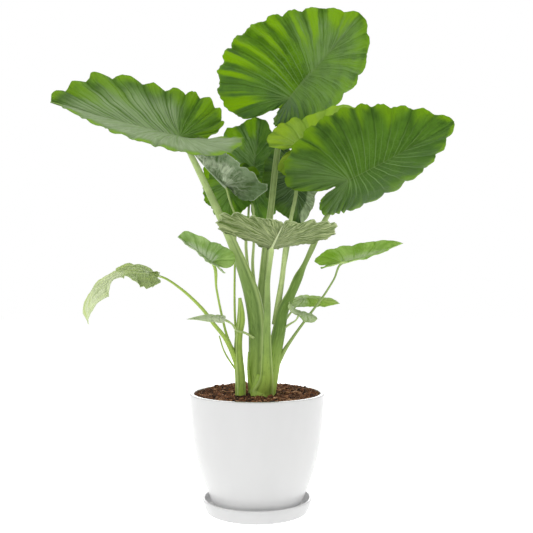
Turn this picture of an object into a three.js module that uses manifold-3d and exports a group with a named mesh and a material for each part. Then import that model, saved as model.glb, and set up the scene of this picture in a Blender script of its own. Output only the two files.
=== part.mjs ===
// Potted alocasia in a white planter on a saucer. Millimetres, +Z up, origin at the middle of the
// saucer's underside, with the front of the plant towards -Y.
import * as THREE from 'three';
import * as BufferGeometryUtils from 'three/addons/utils/BufferGeometryUtils.js';
import Module from 'manifold-3d';

const wasm = await Module();
wasm.setup();

// Driving dimensions
const seat = 0.3;               // gap left wherever two pieces touch
const stalkGap = 0.8;           // gap between the end of a stalk and its blade
const lathePanels = 36;
const saucerBaseRadius = 93;
const saucerRimRadius = 101;
const saucerHeight = 25;
const saucerFloor = 5;
const saucerWall = 3;
const potTopZ = 217;
const potRimRadius = 125;
const potWall = 5;
const potFloor = 6;
const potInsideFoot = 74;       // radius of the planter's inside at its floor
const drainRadius = 8;
const soilTopZ = 211;
const soilLumps = 3.5;          // height of the soil's bumps
const soilRings = 4;
const soilHeap = 7;             // how much higher the soil is heaped at the back
const bladeThickness = 1.1;
const stalkDrop = 1.35;         // how far under its blade a stalk ends, in its own radii
const mainRoot = { x: 8, y: 0, radius: 25.5 };
const sideRoot = { x: -31, y: -12, radius: 9.5 };
const rootDepth = 40;

const radians = THREE.MathUtils.degToRad;

// Colours, roughness and metalness as seen
const whiteGloss = { color: 0xf2f2f0, roughness: 0.35, metalness: 0 };
const pottingMix = { color: 0x4a3020, roughness: 1, metalness: 0 };
const stalkGreen = { color: 0x6f8f3c, roughness: 0.5, metalness: 0 };
const leafGreen = { color: 0x4f7a2a, roughness: 0.45, metalness: 0 };
const limeGreen = { color: 0x86b02e, roughness: 0.45, metalness: 0 };
const silverGreen = { color: 0x7f9468, roughness: 0.5, metalness: 0 };
const paleGreen = { color: 0xa9b884, roughness: 0.6, metalness: 0 };

const plant = new THREE.Group();

function addNode(name, geometry, finish) {
  const mesh = new THREE.Mesh(geometry, new THREE.MeshStandardMaterial(finish));
  mesh.name = name;
  plant.add(mesh);
}

// Solids: merge a geometry's corners for joining and cutting, and turn the result back
function solidOf(geometry) {
  const bare = new THREE.BufferGeometry();
  bare.setAttribute('position', geometry.getAttribute('position'));
  bare.setIndex(geometry.getIndex());
  const merged = BufferGeometryUtils.mergeVertices(bare, 1e-4);
  return new wasm.Manifold(new wasm.Mesh({
    numProp: 3,
    vertProperties: new Float32Array(merged.getAttribute('position').array),
    triVerts: new Uint32Array(merged.getIndex().array),
  }));
}

function geometryOf(solid) {
  const mesh = solid.getMesh();
  const geometry = new THREE.BufferGeometry();
  geometry.setAttribute('position', new THREE.BufferAttribute(mesh.vertProperties, 3));
  geometry.setIndex(new THREE.BufferAttribute(mesh.triVerts, 1));
  geometry.computeVertexNormals();
  return geometry;
}

// A closed ring or dish turned round the vertical axis from [radius, height] points
function turned(profile) {
  const points = profile.map(([radius, height]) => new THREE.Vector2(radius, height));
  const geometry = new THREE.LatheGeometry(points, lathePanels);
  geometry.rotateX(Math.PI / 2);
  return geometry;
}

// Half-width of the planter's outside at a height, from the rim down to its rounded foot
const potFootZ = saucerFloor + seat;
const potOutline = [
  [73, potFootZ],
  [79, potFootZ + 4],
  [84, potFootZ + 14],
  [91, 37],
  [102, 66],
  [112, 101],
  [119, 140],
  [123, 180],
  [potRimRadius, potTopZ - 2],
];

function potRadius(height) {
  for (let i = 1; i < potOutline.length; i += 1) {
    const [lowRadius, lowZ] = potOutline[i - 1];
    const [highRadius, highZ] = potOutline[i];
    if (height <= highZ) {
      return THREE.MathUtils.mapLinear(height, lowZ, highZ, lowRadius, highRadius);
    }
  }
  return potRimRadius;
}

// Saucer
const saucerProfile = [
  [0, 0],
  [saucerBaseRadius - 2, 0],
  [saucerBaseRadius + 1, 2],
  [saucerRimRadius - 2, saucerHeight - 8],
  [saucerRimRadius, saucerHeight],
  [saucerRimRadius - saucerWall, saucerHeight],
  [saucerRimRadius - saucerWall - 3, saucerHeight - 9],
  [saucerBaseRadius - saucerWall, saucerFloor],
  [0, saucerFloor],
];
addNode('saucer', turned(saucerProfile), whiteGloss);

// Planter: outside up, over the thin rim, and down the inside to the drain hole
const insideLevels = [37, 101, 180];
const potInside = insideLevels.map((height) => [potRadius(height) - potWall, height]).reverse();
const potProfile = [
  [drainRadius, potFootZ],
  ...potOutline,
  [potRimRadius - 1.5, potTopZ],
  [potRimRadius - potWall + 1, potTopZ],
  ...potInside,
  [potInsideFoot, potFootZ + potFloor],
  [drainRadius, potFootZ + potFloor],
  [drainRadius, potFootZ],
];
addNode('pot', turned(potProfile), whiteGloss);

// Blades. Each half runs from the notch over the stalk (along = 0) to the tip (along = 1), and from
// the midrib (out = 0) to the margin (out = 1). The outline is its reach from the stalk at these
// angles from the midrib, in shares of the length from stalk to tip.
const reachAngles = [180, 172, 155, 130, 102, 76, 52, 32, 15, 0];
const heart = [0.12, 0.28, 0.45, 0.53, 0.53, 0.56, 0.65, 0.76, 0.88, 1];
const narrowHeart = [0.12, 0.27, 0.40, 0.40, 0.38, 0.40, 0.48, 0.63, 0.82, 1];
const strap = [0.08, 0.10, 0.12, 0.13, 0.14, 0.15, 0.18, 0.25, 0.45, 1];
const fanShare = 0.33;          // share of the margin whose veins start at the stalk
const lastVein = 0.66;          // how far along the midrib the last vein starts
const veinBow = 0.03;
const waistAt = 0.36;           // where a wilted blade is drawn in, in shares of its length
const waistSpan = 0.14;

function spline(values, along) {
  const last = values.length - 1;
  const place = THREE.MathUtils.clamp(along, 0, 1) * last;
  const i = Math.min(Math.floor(place), last - 1);
  const f = place - i;
  const [a, b, c, d] = [i - 1, i, i + 1, i + 2].map((k) => values[THREE.MathUtils.clamp(k, 0, last)]);
  return 0.5 * (2 * b + (c - a) * f + (2 * a - 5 * b + 4 * c - d) * f * f
    + (3 * b - a - 3 * c + d) * f * f * f);
}

// A repeatable number from 0 to 1 for the k-th wave of a blade's half
function uneven(k, seed) {
  const value = Math.sin(k * 12.9898 + seed * 78.233) * 43758.5453;
  return value - Math.floor(value);
}

// The blade's own directions: along the midrib, to its left and up out of its upper face
function bladeAxes(leaf) {
  const heading = radians(leaf.heading);
  const pitch = radians(leaf.pitch);
  const roll = radians(leaf.roll);
  const forward = new THREE.Vector3(
    Math.cos(heading) * Math.cos(pitch),
    Math.sin(heading) * Math.cos(pitch),
    Math.sin(pitch),
  );
  const level = new THREE.Vector3(-Math.sin(heading), Math.cos(heading), 0);
  const rise = forward.clone().cross(level);
  const left = level.multiplyScalar(Math.cos(roll)).addScaledVector(rise, Math.sin(roll));
  const up = forward.clone().cross(left);
  return { forward, left, up };
}

// A point of the flat leaf, x along the midrib, y out from it and h above it, folded along the
// midrib, curled to the sides and bent along its length. Side is 1 left, -1 right and 0 for the
// keel, where h is measured halfway between the two halves.
function bend(leaf, side, x, y, h) {
  const which = side < 0 ? 1 : 0;
  const fold = side === 0 ? leaf.keel : radians(leaf.fold[which]);
  const curl = (radians(leaf.curl[which]) + 1e-4) / (0.5 * leaf.length);
  const slope = fold + curl * y;
  const outward = (Math.sin(slope) - Math.sin(fold)) / curl + h * Math.sin(slope);
  const lift = (Math.cos(slope) - Math.cos(fold)) / curl + h * Math.cos(slope);
  const turn = x > 0 ? radians(leaf.tip) / leaf.length : radians(leaf.lobe) / (0.5 * leaf.length);
  const arc = (turn + 1e-7) * Math.abs(x);
  const reach = Math.sign(x) * Math.sin(arc) * (1 / (turn + 1e-7) + lift);
  const height = (Math.cos(arc) - 1) / (turn + 1e-7) + lift * Math.cos(arc);
  const { forward, left, up } = leaf.axes;
  return new THREE.Vector3(...leaf.at)
    .addScaledVector(forward, reach)
    .addScaledVector(left, (side || 1) * outward)
    .addScaledVector(up, height);
}

function bladePoint(leaf, side, along, out) {
  const reaches = side > 0 ? leaf.left : leaf.right;
  const marginX = spline(reaches.map((r, i) => r * Math.cos(radians(reachAngles[i]))), along);
  const marginY = spline(reaches.map((r, i) => r * Math.sin(radians(reachAngles[i]))), along);
  const start = lastVein * Math.max(0, (along - fanShare) / (1 - fanShare)) ** 1.25;
  const wave = Math.floor(Math.min(along * leaf.waves, leaf.waves - 0.001));
  const height = 0.75 + 0.5 * uneven(wave, leaf.seed + (side > 0 ? 1 : 0));
  const crest = Math.abs(Math.sin(Math.PI * leaf.waves * along)) ** 0.7 * height;
  const spread = out * (1 + leaf.scallop * (crest - 0.5) * out ** 3);
  const bow = veinBow * Math.sin(Math.PI * out) * Math.sin(Math.PI * along);
  const x = leaf.length * (start + (marginX - start) * spread + bow);
  const drawnIn = 1 - leaf.waist * Math.exp(-(((x / leaf.length - waistAt) / waistSpan) ** 2));
  const y = leaf.length * marginY * spread * drawnIn;
  const sway = leaf.sway * Math.sin(4 * Math.PI * along + leaf.seed) * Math.sin(Math.PI * along);
  const h = leaf.ripple * crest * out ** 0.8 + sway * out * out;
  return bend(leaf, side, x, y, h);
}

// One thin closed sheet of even thickness, from the same triangles above and below
function thicken(sheet, thickness) {
  const merged = BufferGeometryUtils.mergeVertices(sheet, 1e-3);
  const corners = merged.getIndex().array;
  const faces = [];
  for (let i = 0; i < corners.length; i += 3) {
    const [a, b, c] = corners.slice(i, i + 3);
    if (a !== b && b !== c && c !== a) {
      faces.push([a, b, c]);
    }
  }
  merged.setIndex(faces.flat());
  merged.computeVertexNormals();
  const position = merged.getAttribute('position');
  const normal = merged.getAttribute('normal');
  const count = position.count;
  const points = [];
  for (const face of [0.5, -0.5]) {
    for (let i = 0; i < count; i += 1) {
      const point = new THREE.Vector3().fromBufferAttribute(position, i);
      const away = new THREE.Vector3().fromBufferAttribute(normal, i);
      points.push(...point.addScaledVector(away, face * thickness).toArray());
    }
  }
  const edges = new Set(faces.flatMap(([a, b, c]) => [`${a},${b}`, `${b},${c}`, `${c},${a}`]));
  const index = [];
  for (const [a, b, c] of faces) {
    index.push(a, b, c, count + a, count + c, count + b);
    for (const [from, to] of [[a, b], [b, c], [c, a]]) {
      if (!edges.has(`${to},${from}`)) {
        index.push(from, count + from, to, to, count + from, count + to);
      }
    }
  }
  const slab = new THREE.BufferGeometry();
  slab.setAttribute('position', new THREE.Float32BufferAttribute(points, 3));
  slab.setIndex(index);
  return slab;
}

// The blade's rows lie on the veins and on the crests between them
function bladeSheet(leaf) {
  const rows = 2 * leaf.waves;
  const columns = leaf.columns;
  const points = [];
  for (const side of [1, -1]) {
    const at = (i, j) => bladePoint(leaf, side, i / rows, (j / columns) ** 0.85);
    for (let i = 0; i < rows; i += 1) {
      for (let j = 0; j < columns; j += 1) {
        const quad = [at(i, j), at(i + 1, j), at(i + 1, j + 1), at(i, j + 1)];
        const [a, b, c, d] = side > 0 ? quad : [quad[1], quad[0], quad[3], quad[2]];
        points.push(...[a, b, c, a, c, d].flatMap((point) => point.toArray()));
      }
    }
  }
  const sheet = new THREE.BufferGeometry();
  sheet.setAttribute('position', new THREE.Float32BufferAttribute(points, 3));
  return sheet;
}

// A tapering round stalk through [x, y, z, radius] stations
function stalk(stations, sides = 8, stepsEach = 1) {
  const curve = new THREE.CatmullRomCurve3(stations.map(([x, y, z]) => new THREE.Vector3(x, y, z)));
  const steps = (stations.length - 1) * stepsEach;
  const points = [];
  let across = new THREE.Vector3(0, -1, 0);
  for (let i = 0; i <= steps; i += 1) {
    const share = i / steps;
    const centre = curve.getPoint(share);
    const tangent = curve.getTangent(share);
    const place = Math.min(Math.floor(share * (stations.length - 1)), stations.length - 2);
    const f = share * (stations.length - 1) - place;
    const radius = THREE.MathUtils.lerp(stations[place][3], stations[place + 1][3], f);
    across = across.clone().projectOnPlane(tangent).normalize();
    const beside = tangent.clone().cross(across);
    for (let k = 0; k < sides; k += 1) {
      const angle = 2 * Math.PI * k / sides;
      const point = centre.clone()
        .addScaledVector(across, radius * Math.cos(angle))
        .addScaledVector(beside, radius * Math.sin(angle));
      points.push(...point.toArray());
    }
  }
  const index = [];
  for (let i = 0; i < steps; i += 1) {
    for (let k = 0; k < sides; k += 1) {
      const a = i * sides + k;
      const b = i * sides + (k + 1) % sides;
      index.push(a, b, b + sides, a, b + sides, a + sides);
    }
  }
  for (let k = 1; k < sides - 1; k += 1) {
    const end = steps * sides;
    index.push(0, k + 1, k, end, end + k, end + k + 1);
  }
  const geometry = new THREE.BufferGeometry();
  geometry.setAttribute('position', new THREE.Float32BufferAttribute(points, 3));
  geometry.setIndex(index);
  return geometry;
}

// The raised midrib under a blade, thickest at the stalk
function midrib(leaf, extra) {
  const start = -0.02 - 2 * extra / leaf.length;
  const stations = [start, 0.15, 0.35, 0.55, 0.72, 0.86].map((share) => {
    const radius = leaf.rib * (1 - share) ** 0.8;
    const point = bend(leaf, 0, share * leaf.length, 0, -0.6 * radius * leaf.wedge);
    return [...point.toArray(), radius + extra];
  });
  return stalk(stations, 6);
}

function bladeSolid(leaf, extra = 0) {
  const blade = solidOf(thicken(bladeSheet(leaf), bladeThickness + 2 * extra));
  return blade.add(solidOf(midrib(leaf, extra)));
}

// Every leaf: where its stalk meets it, where its midrib points, its length from stalk to tip, and
// in degrees its fold and curl on the left and right, and how far the tip and the lobes bend down.
const usual = {
  left: heart, right: heart, fold: [8, 8], curl: [15, 15], tip: 20, lobe: 15,
  waves: 8, columns: 3, ripple: 3.5, scallop: 0.04, sway: 3, waist: 0, rib: 2.4, seed: 1,
  finish: leafGreen,
};
const leaves = {
  leaf_top: {
    at: [61, 60, 780], heading: 25, pitch: 49, roll: 66, length: 270,
    left: [0.15, 0.12, 0.35, 0.49, 0.55, 0.64, 0.71, 0.78, 0.89, 1],
    right: [0.15, 0.22, 0.22, 0.20, 0.23, 0.32, 0.60, 0.93, 1.00, 1],
    fold: [0, 46], curl: [9, 36], tip: 10, lobe: 17,
    waves: 15, ripple: 4, rib: 3.6, seed: 3,
  },
  leaf_right: {
    at: [167, -30, 609], heading: 12, pitch: 26, roll: 68, length: 228,
    left: [0.12, 0.24, 0.45, 0.49, 0.52, 0.59, 0.66, 0.73, 0.86, 1],
    right: [0.12, 0.28, 0.38, 0.41, 0.44, 0.57, 0.66, 0.78, 0.86, 1],
    fold: [-5, 64], curl: [1, 36], tip: -19, lobe: 39,
    waves: 14, ripple: 4, rib: 3.4, seed: 5,
  },
  leaf_left: {
    at: [-140, -40, 687], heading: 193, pitch: 11, roll: -25, length: 237,
    left: [0.10, 0.31, 0.53, 0.58, 0.53, 0.56, 0.64, 0.74, 0.88, 1],
    right: [0.10, 0.26, 0.39, 0.49, 0.50, 0.47, 0.60, 0.81, 0.92, 1],
    fold: [-14, -28], curl: [25, -9], tip: -3, lobe: -30,
    waves: 14, ripple: 4, rib: 3.4, seed: 7,
  },
  leaf_back: {
    at: [-14, 115, 611], heading: 71, pitch: 68, roll: 20, length: 160,
    fold: [3, 35], curl: [6, 34], tip: -10, lobe: 29, waves: 10, scallop: 0.05, seed: 9,
  },
  leaf_folded: {
    at: [-59, 10, 603], heading: 183, pitch: 43, roll: 50, length: 105,
    left: [0.25, 0.42, 0.62, 0.90, 0.68, 0.66, 0.68, 0.76, 0.88, 1],
    fold: [5, -95], curl: [10, 10], tip: -10, lobe: 10, ripple: 5, seed: 11, finish: silverGreen,
  },
  leaf_lime: {
    at: [79, 22, 680], heading: 8, pitch: 22, roll: 74, length: 145,
    left: [0.06, 0.19, 0.39, 0.46, 0.46, 0.46, 0.50, 0.81, 1.00, 1],
    right: [0.06, 0.24, 0.42, 0.50, 0.50, 0.51, 0.58, 0.79, 0.96, 1],
    fold: [13, 20], curl: [11, 12], tip: 0, lobe: 10, seed: 13, finish: limeGreen,
  },
  leaf_shade: {
    at: [78, 135, 655], heading: -78, pitch: -78, roll: 0, length: 125,
    left: narrowHeart, right: narrowHeart, fold: [-10, 10], curl: [-80, 10], tip: -10, lobe: 20,
    seed: 15,
  },
  leaf_front: {
    at: [27, -95, 484], heading: -83, pitch: 13, roll: -7, length: 147,
    left: [0.08, 0.29, 0.52, 0.62, 0.65, 0.75, 0.86, 0.88, 0.92, 1],
    right: [0.08, 0.27, 0.49, 0.64, 0.66, 0.71, 0.82, 0.80, 0.88, 1],
    fold: [-17, -18], curl: [1, 7], tip: 3, lobe: -23, waves: 10, scallop: 0.05, seed: 17,
    finish: silverGreen,
  },
  leaf_low_left: {
    at: [-49, 68, 624], heading: 258, pitch: -68, roll: 0, length: 82,
    left: [0.12, 0.28, 0.50, 0.65, 0.70, 0.72, 0.76, 0.80, 0.90, 1],
    right: [0.12, 0.28, 0.50, 0.65, 0.70, 0.72, 0.76, 0.80, 0.90, 1],
    fold: [10, 10], curl: [15, 15], tip: 10, lobe: 10, waves: 7, seed: 19,
  },
  leaf_small_right: {
    at: [157, -10, 458], heading: 8, pitch: 13, roll: 13, length: 124,
    left: narrowHeart, right: narrowHeart, fold: [-21, -13], curl: [-1, 4], tip: -9, lobe: 1,
    waves: 6, ripple: 2, sway: 2, rib: 1.8, seed: 21,
  },
  leaf_small_left: {
    at: [-80, -44, 458], heading: 182, pitch: 36, roll: -28, length: 79,
    left: [0.12, 0.27, 0.40, 0.40, 0.38, 0.40, 0.48, 0.66, 0.94, 1],
    right: [0.12, 0.22, 0.38, 0.53, 0.52, 0.49, 0.51, 0.66, 0.94, 1],
    fold: [-18, -33], curl: [-7, -11], tip: -1, lobe: 19,
    waves: 6, ripple: 2, sway: 2, rib: 1.6, seed: 23,
  },
  leaf_drooping: {
    at: [-193, -60, 439], heading: 194, pitch: 16, roll: 7, length: 167,
    left: [0.06, 0.09, 0.12, 0.19, 0.35, 0.44, 0.46, 0.44, 0.75, 1],
    right: [0.06, 0.09, 0.12, 0.18, 0.30, 0.42, 0.46, 0.46, 0.74, 1],
    fold: [28, -17], curl: [16, 2], tip: 115, lobe: 36, waist: 0.5,
    waves: 7, ripple: 3, sway: 2, rib: 1.8, seed: 25, finish: paleGreen,
  },
  leaf_low_right: {
    at: [88, 42, 390], heading: -5, pitch: 6, roll: 22, length: 72,
    left: narrowHeart, right: narrowHeart, tip: 30, waves: 5, ripple: 1.5, sway: 1, rib: 1.3,
    seed: 27,
  },
  leaf_curled: {
    at: [81, -18, 365], heading: 0, pitch: -14, roll: 50, length: 38,
    left: [0.95, 0.88, 0.45, 0.26, 0.22, 0.24, 0.36, 0.52, 0.72, 0.86],
    right: [0.95, 0.88, 0.42, 0.22, 0.20, 0.26, 0.46, 0.62, 0.78, 0.86],
    fold: [20, 20], curl: [40, 40], tip: 20, lobe: -40,
    waves: 4, ripple: 1, sway: 0, rib: 1.2, seed: 29, finish: paleGreen,
  },
  leaf_withered: {
    at: [-63, -50, 357], heading: 185, pitch: 6, roll: -48, length: 65,
    left: strap, right: strap, fold: [14, 14], curl: [25, 25], tip: 24, lobe: 10,
    waves: 4, ripple: 1, sway: 0, rib: 1.2, seed: 31, finish: paleGreen,
  },
};
for (const name of Object.keys(leaves)) {
  const leaf = { ...usual, ...leaves[name] };
  const [foldLeft, foldRight] = leaf.fold.map(radians);
  leaf.axes = bladeAxes(leaf);
  leaf.keel = (foldLeft - foldRight) / 2;
  leaf.wedge = 1 / Math.cos(Math.max(0, (foldLeft + foldRight) / 2));
  leaves[name] = leaf;
}

// Stalks and sheaths, as [x, y, z, radius] stations from just under the leaf down to the shoot. A
// stalk under a leaf's name starts in the keel of its blade, with the radius of its first station.
const mainStalks = {
  sheath: [[-15, -20, 294, 1.5], [-16, -18, 270, 2.5], [-14, -15, 243, 3.2], [-8, -8, 222, 4]],
  leaf_left: [
    [-130, -36, 671, 4.5], [-118, -32, 649, 5.5], [-91, -24, 593, 6.5],
    [-68, -18, 544, 7.5], [-43, -12, 489, 10], [-21, -6, 435, 13], [-8, -2, 394, 16],
    [-1, 0, 351, 16.5], [-1, 0, 296, 15], [-2, 0, 238, 16], [2, 0, 222, 17],
  ],
  leaf_top: [
    [50, 83, 740, 5], [40, 82, 686, 6], [34, 75, 639, 6.5], [26, 64, 565, 6.5],
    [16, 51, 490, 7], [10, 39, 430, 7.5], [5, 26, 369, 9], [5, 16, 294, 11], [7, 10, 222, 14],
  ],
  leaf_front: [
    [24, -88, 458, 4], [20, -80, 430, 4.5], [19, -62, 372, 6],
    [18, -50, 329, 7], [18, -38, 283, 9], [18, -24, 243, 11], [16, -12, 222, 13],
  ],
  leaf_right: [
    [156, 8, 589, 4.5], [145, 31, 569, 4.5], [126, 28, 535, 5],
    [105, 13, 490, 5.5], [84, 4, 446, 6], [79, 4, 436, 8], [63, 4, 400, 9], [49, 6, 372, 11],
    [40, 6, 329, 13], [33, 5, 295, 14], [25, 3, 249, 15], [18, 0, 222, 15],
  ],
  leaf_lime: [
    [78, 47, 655, 3.5], [75, 45, 598, 3.5], [61, 26, 530, 4], [54, 13, 492, 4.5],
    [47, 12, 430, 5], [39, 11, 379, 6], [33, 9, 342, 6],
  ],
  leaf_back: [
    [-18, 116, 578, 2.5], [-19, 104, 551, 2.5], [-23, 76, 498, 3],
    [-20, 54, 461, 3], [-8, 14, 388, 4], [-4, 4, 372, 4],
  ],
  leaf_low_left: [
    [-36, 74, 600, 2.2], [-10, 58, 571, 2.2], [-7, 44, 543, 2.2], [-7, 34, 495, 2.5],
    [-9, 26, 460, 3], [-2, 8, 388, 4],
  ],
  leaf_shade: [
    [78, 146, 622, 3], [76, 138, 586, 3], [62, 92, 504, 3.5], [50, 45, 445, 4], [38, 15, 379, 5],
  ],
  leaf_small_right: [
    [143, -8, 428, 1.8], [126, -4, 400, 2], [93, 2, 355, 2.4], [67, 4, 319, 3],
    [50, 4, 293, 4], [33, 2, 256, 5],
  ],
  leaf_low_right: [[75, 36, 377, 1.8], [62, 26, 362, 2], [47, 12, 341, 2.5]],
  leaf_curled: [[72, -14, 352, 1.5], [61, -2, 344, 2], [46, 3, 333, 2.5]],
  leaf_withered: [
    [-45, -42, 346, 1.8], [-38, -34, 335, 2], [-22, -24, 329, 2.2],
    [-6, -14, 319, 2.5],
  ],
};
const sideStalks = {
  sheath: [
    [-32, -10, 393, 3], [-30, -10, 370, 6], [-30, -10, 352, 7.5], [-34, -11, 324, 7],
    [-35, -12, 289, 8], [-33, -12, 265, 9], [-31, -12, 236, 9.5], [-31, -12, 214, 9.5],
  ],
  leaf_folded: [
    [-54, 14, 583, 2], [-50, 12, 570, 2], [-42, 10, 548, 2], [-41, 8, 500, 2],
    [-42, 2, 447, 2], [-41, -8, 352, 2.2], [-37, -12, 297, 2.5],
  ],
  leaf_small_left: [
    [-74, -34, 411, 2], [-65, -24, 363, 2.2], [-54, -15, 319, 2.5],
    [-38, -12, 285, 3],
  ],
  leaf_drooping: [
    [-167, -54, 430, 2], [-141, -48, 413, 2.4], [-118, -42, 393, 2.8],
    [-95, -34, 368, 3.2], [-80, -30, 347, 3.5], [-59, -24, 320, 4], [-48, -20, 299, 4.5],
    [-37, -14, 267, 5], [-31, -12, 232, 6],
  ],
  spent: [[-70, -14, 323, 1.2], [-61, -14, 295, 1.4], [-38, -12, 258, 2]],
};

// The buried foot of a shoot: a plain round column that swells out of the soil
function foot(root, top) {
  return stalk([
    [root.x, root.y, soilTopZ - rootDepth, root.radius],
    [root.x, root.y, soilTopZ + 6, root.radius],
    [root.x, root.y, top, root.radius * 0.7],
  ], 16);
}

function shoot(root, top, stalks) {
  let solid = solidOf(foot(root, top));
  for (const [name, stations] of Object.entries(stalks)) {
    const upward = [...stations].reverse();
    if (name in leaves) {
      const radius = stations[0][3];
      const end = bend(leaves[name], 0, 0, 0, -stalkDrop * radius * leaves[name].wedge);
      upward.push([...end.toArray(), radius]);
    }
    solid = solid.add(solidOf(stalk(upward)));
  }
  for (const leaf of Object.values(leaves)) {
    solid = solid.subtract(bladeSolid(leaf, stalkGap));
  }
  return solid;
}
addNode('main_shoot', geometryOf(shoot(mainRoot, 250, mainStalks)), stalkGreen);
addNode('side_shoot', geometryOf(shoot(sideRoot, 240, sideStalks)), stalkGreen);

// Soil: a lumpy top on a plug that follows the planter's inside, with plain holes for the shoots
function soilHeight(x, y) {
  const lumps = Math.sin(x * 0.11 + 1) * Math.sin(y * 0.13) + 0.6 * Math.sin(x * 0.23 + y * 0.19);
  const back = Math.max(0, y / potRimRadius);
  return soilTopZ + 0.6 * soilLumps * lumps + 2 * (y / potRimRadius) + soilHeap * back ** 1.5;
}

function soilSolid() {
  const edge = potRadius(insideLevels.at(-1)) - potWall - seat;
  const levels = [
    [potInsideFoot - 2 * seat, potFootZ + potFloor + seat],
    ...insideLevels.map((height) => [potRadius(height) - potWall - seat, height]),
  ];
  const points = [[0, 0, levels[0][1]]];
  const rings = [...levels];
  for (let ring = soilRings; ring > 0; ring -= 1) {
    rings.push([edge * ring / soilRings, null]);
  }
  for (const [radius, height] of rings) {
    for (let k = 0; k < lathePanels; k += 1) {
      const angle = 2 * Math.PI * k / lathePanels;
      const x = radius * Math.cos(angle);
      const y = radius * Math.sin(angle);
      points.push([x, y, height ?? soilHeight(x, y)]);
    }
  }
  points.push([0, 0, soilHeight(0, 0)]);
  const index = [];
  const last = points.length - 1;
  for (let k = 0; k < lathePanels; k += 1) {
    const next = (k + 1) % lathePanels;
    index.push(0, 1 + next, 1 + k);
    for (let ring = 0; ring < rings.length - 1; ring += 1) {
      const a = 1 + ring * lathePanels + k;
      const b = 1 + ring * lathePanels + next;
      index.push(a, b, b + lathePanels, a, b + lathePanels, a + lathePanels);
    }
    index.push(last, last - lathePanels + k, last - lathePanels + next);
  }
  const geometry = new THREE.BufferGeometry();
  geometry.setAttribute('position', new THREE.Float32BufferAttribute(points.flat(), 3));
  geometry.setIndex(index);
  return solidOf(geometry);
}

function rootHole(root) {
  const depth = rootDepth + seat;
  const hole = new THREE.CylinderGeometry(root.radius + 2 * seat, root.radius + 2 * seat, 2 * depth, 24);
  hole.rotateX(Math.PI / 2);
  hole.translate(root.x, root.y, soilTopZ);
  return solidOf(hole);
}
const soil = soilSolid().subtract(rootHole(mainRoot)).subtract(rootHole(sideRoot));
addNode('soil', geometryOf(soil), pottingMix);

for (const [name, leaf] of Object.entries(leaves)) {
  addNode(name, geometryOf(bladeSolid(leaf)), leaf.finish);
}

export default plant;
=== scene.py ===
# Potted alocasia: waved leaves, sheathed stalks, crumbly soil, white planter and saucer
import bpy
import functools
import random
from math import cos, hypot, pi, radians, sin, sqrt
import numpy as np
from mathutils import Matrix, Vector


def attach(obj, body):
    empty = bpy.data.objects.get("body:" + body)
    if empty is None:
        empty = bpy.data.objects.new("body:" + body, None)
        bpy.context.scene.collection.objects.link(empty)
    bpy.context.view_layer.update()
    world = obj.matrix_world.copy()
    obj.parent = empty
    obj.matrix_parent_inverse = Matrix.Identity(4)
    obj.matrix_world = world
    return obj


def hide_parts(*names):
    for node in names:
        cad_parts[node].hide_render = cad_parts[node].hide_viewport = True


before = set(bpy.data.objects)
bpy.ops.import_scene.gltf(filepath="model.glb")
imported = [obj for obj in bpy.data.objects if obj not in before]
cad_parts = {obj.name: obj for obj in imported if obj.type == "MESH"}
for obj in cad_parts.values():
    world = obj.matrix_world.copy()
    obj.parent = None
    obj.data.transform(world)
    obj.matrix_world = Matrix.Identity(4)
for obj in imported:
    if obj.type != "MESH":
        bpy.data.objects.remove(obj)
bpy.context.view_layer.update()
mm = 0.001
print("frame loaded")


# Colours are given as they look on screen, as (red, green, blue) up to 255
def srgb(*colour):
    shares = [value / 255 for value in colour]
    return (*(s / 12.92 if s <= 0.04045 else ((s + 0.055) / 1.055) ** 2.4 for s in shares), 1.0)


# Small helpers for building node trees. A node joins the tree of the sockets that feed it.
def isSocket(value):
    return isinstance(value, bpy.types.NodeSocket)


def feed(socket, value):
    if isSocket(value):
        socket.id_data.links.new(value, socket)
    else:
        socket.default_value = value


def feedAll(node, inputs):
    for name, value in inputs.items():
        feed(node.inputs[name], value)


def addNode(tree, kind, inputs=None, **settings):
    node = tree.nodes.new(kind)
    for name, value in settings.items():
        setattr(node, name, value)
    feedAll(node, inputs or {})
    return node


def joinNode(kind, inputs, **settings):
    return addNode(next(filter(isSocket, inputs.values())).id_data, kind, inputs, **settings)


def calc(operation, *values):
    return joinNode("ShaderNodeMath", dict(enumerate(values)), operation=operation).outputs[0]


def linear(value, slope, start):
    return calc("MULTIPLY_ADD", value, slope, start)


def chained(operation):
    return lambda *values: functools.reduce(lambda a, b: calc(operation, a, b), values)


times, plus, largest = (chained(operation) for operation in ("MULTIPLY", "ADD", "MAXIMUM"))


def smoothRamp(value, low, high, toLow=0.0, toHigh=1.0):
    inputs = {"Value": value, "From Min": low, "From Max": high, "To Min": toLow, "To Max": toHigh}
    return joinNode("ShaderNodeMapRange", inputs, interpolation_type="SMOOTHSTEP").outputs[0]


def mixColour(factor, first, second):
    return joinNode("ShaderNodeMix", {0: factor, 6: first, 7: second}, data_type="RGBA").outputs[2]


def noise(vector, scale, detail=3.0, roughness=0.55):
    inputs = {"Vector": vector, "Scale": scale, "Detail": detail, "Roughness": roughness}
    return joinNode("ShaderNodeTexNoise", inputs).outputs["Fac"]


def scaled(vector, amounts):
    return joinNode("ShaderNodeVectorMath", {0: vector, 1: amounts}, operation="MULTIPLY").outputs[0]


def splitVector(vector):
    return joinNode("ShaderNodeSeparateXYZ", {0: vector}).outputs


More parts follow.
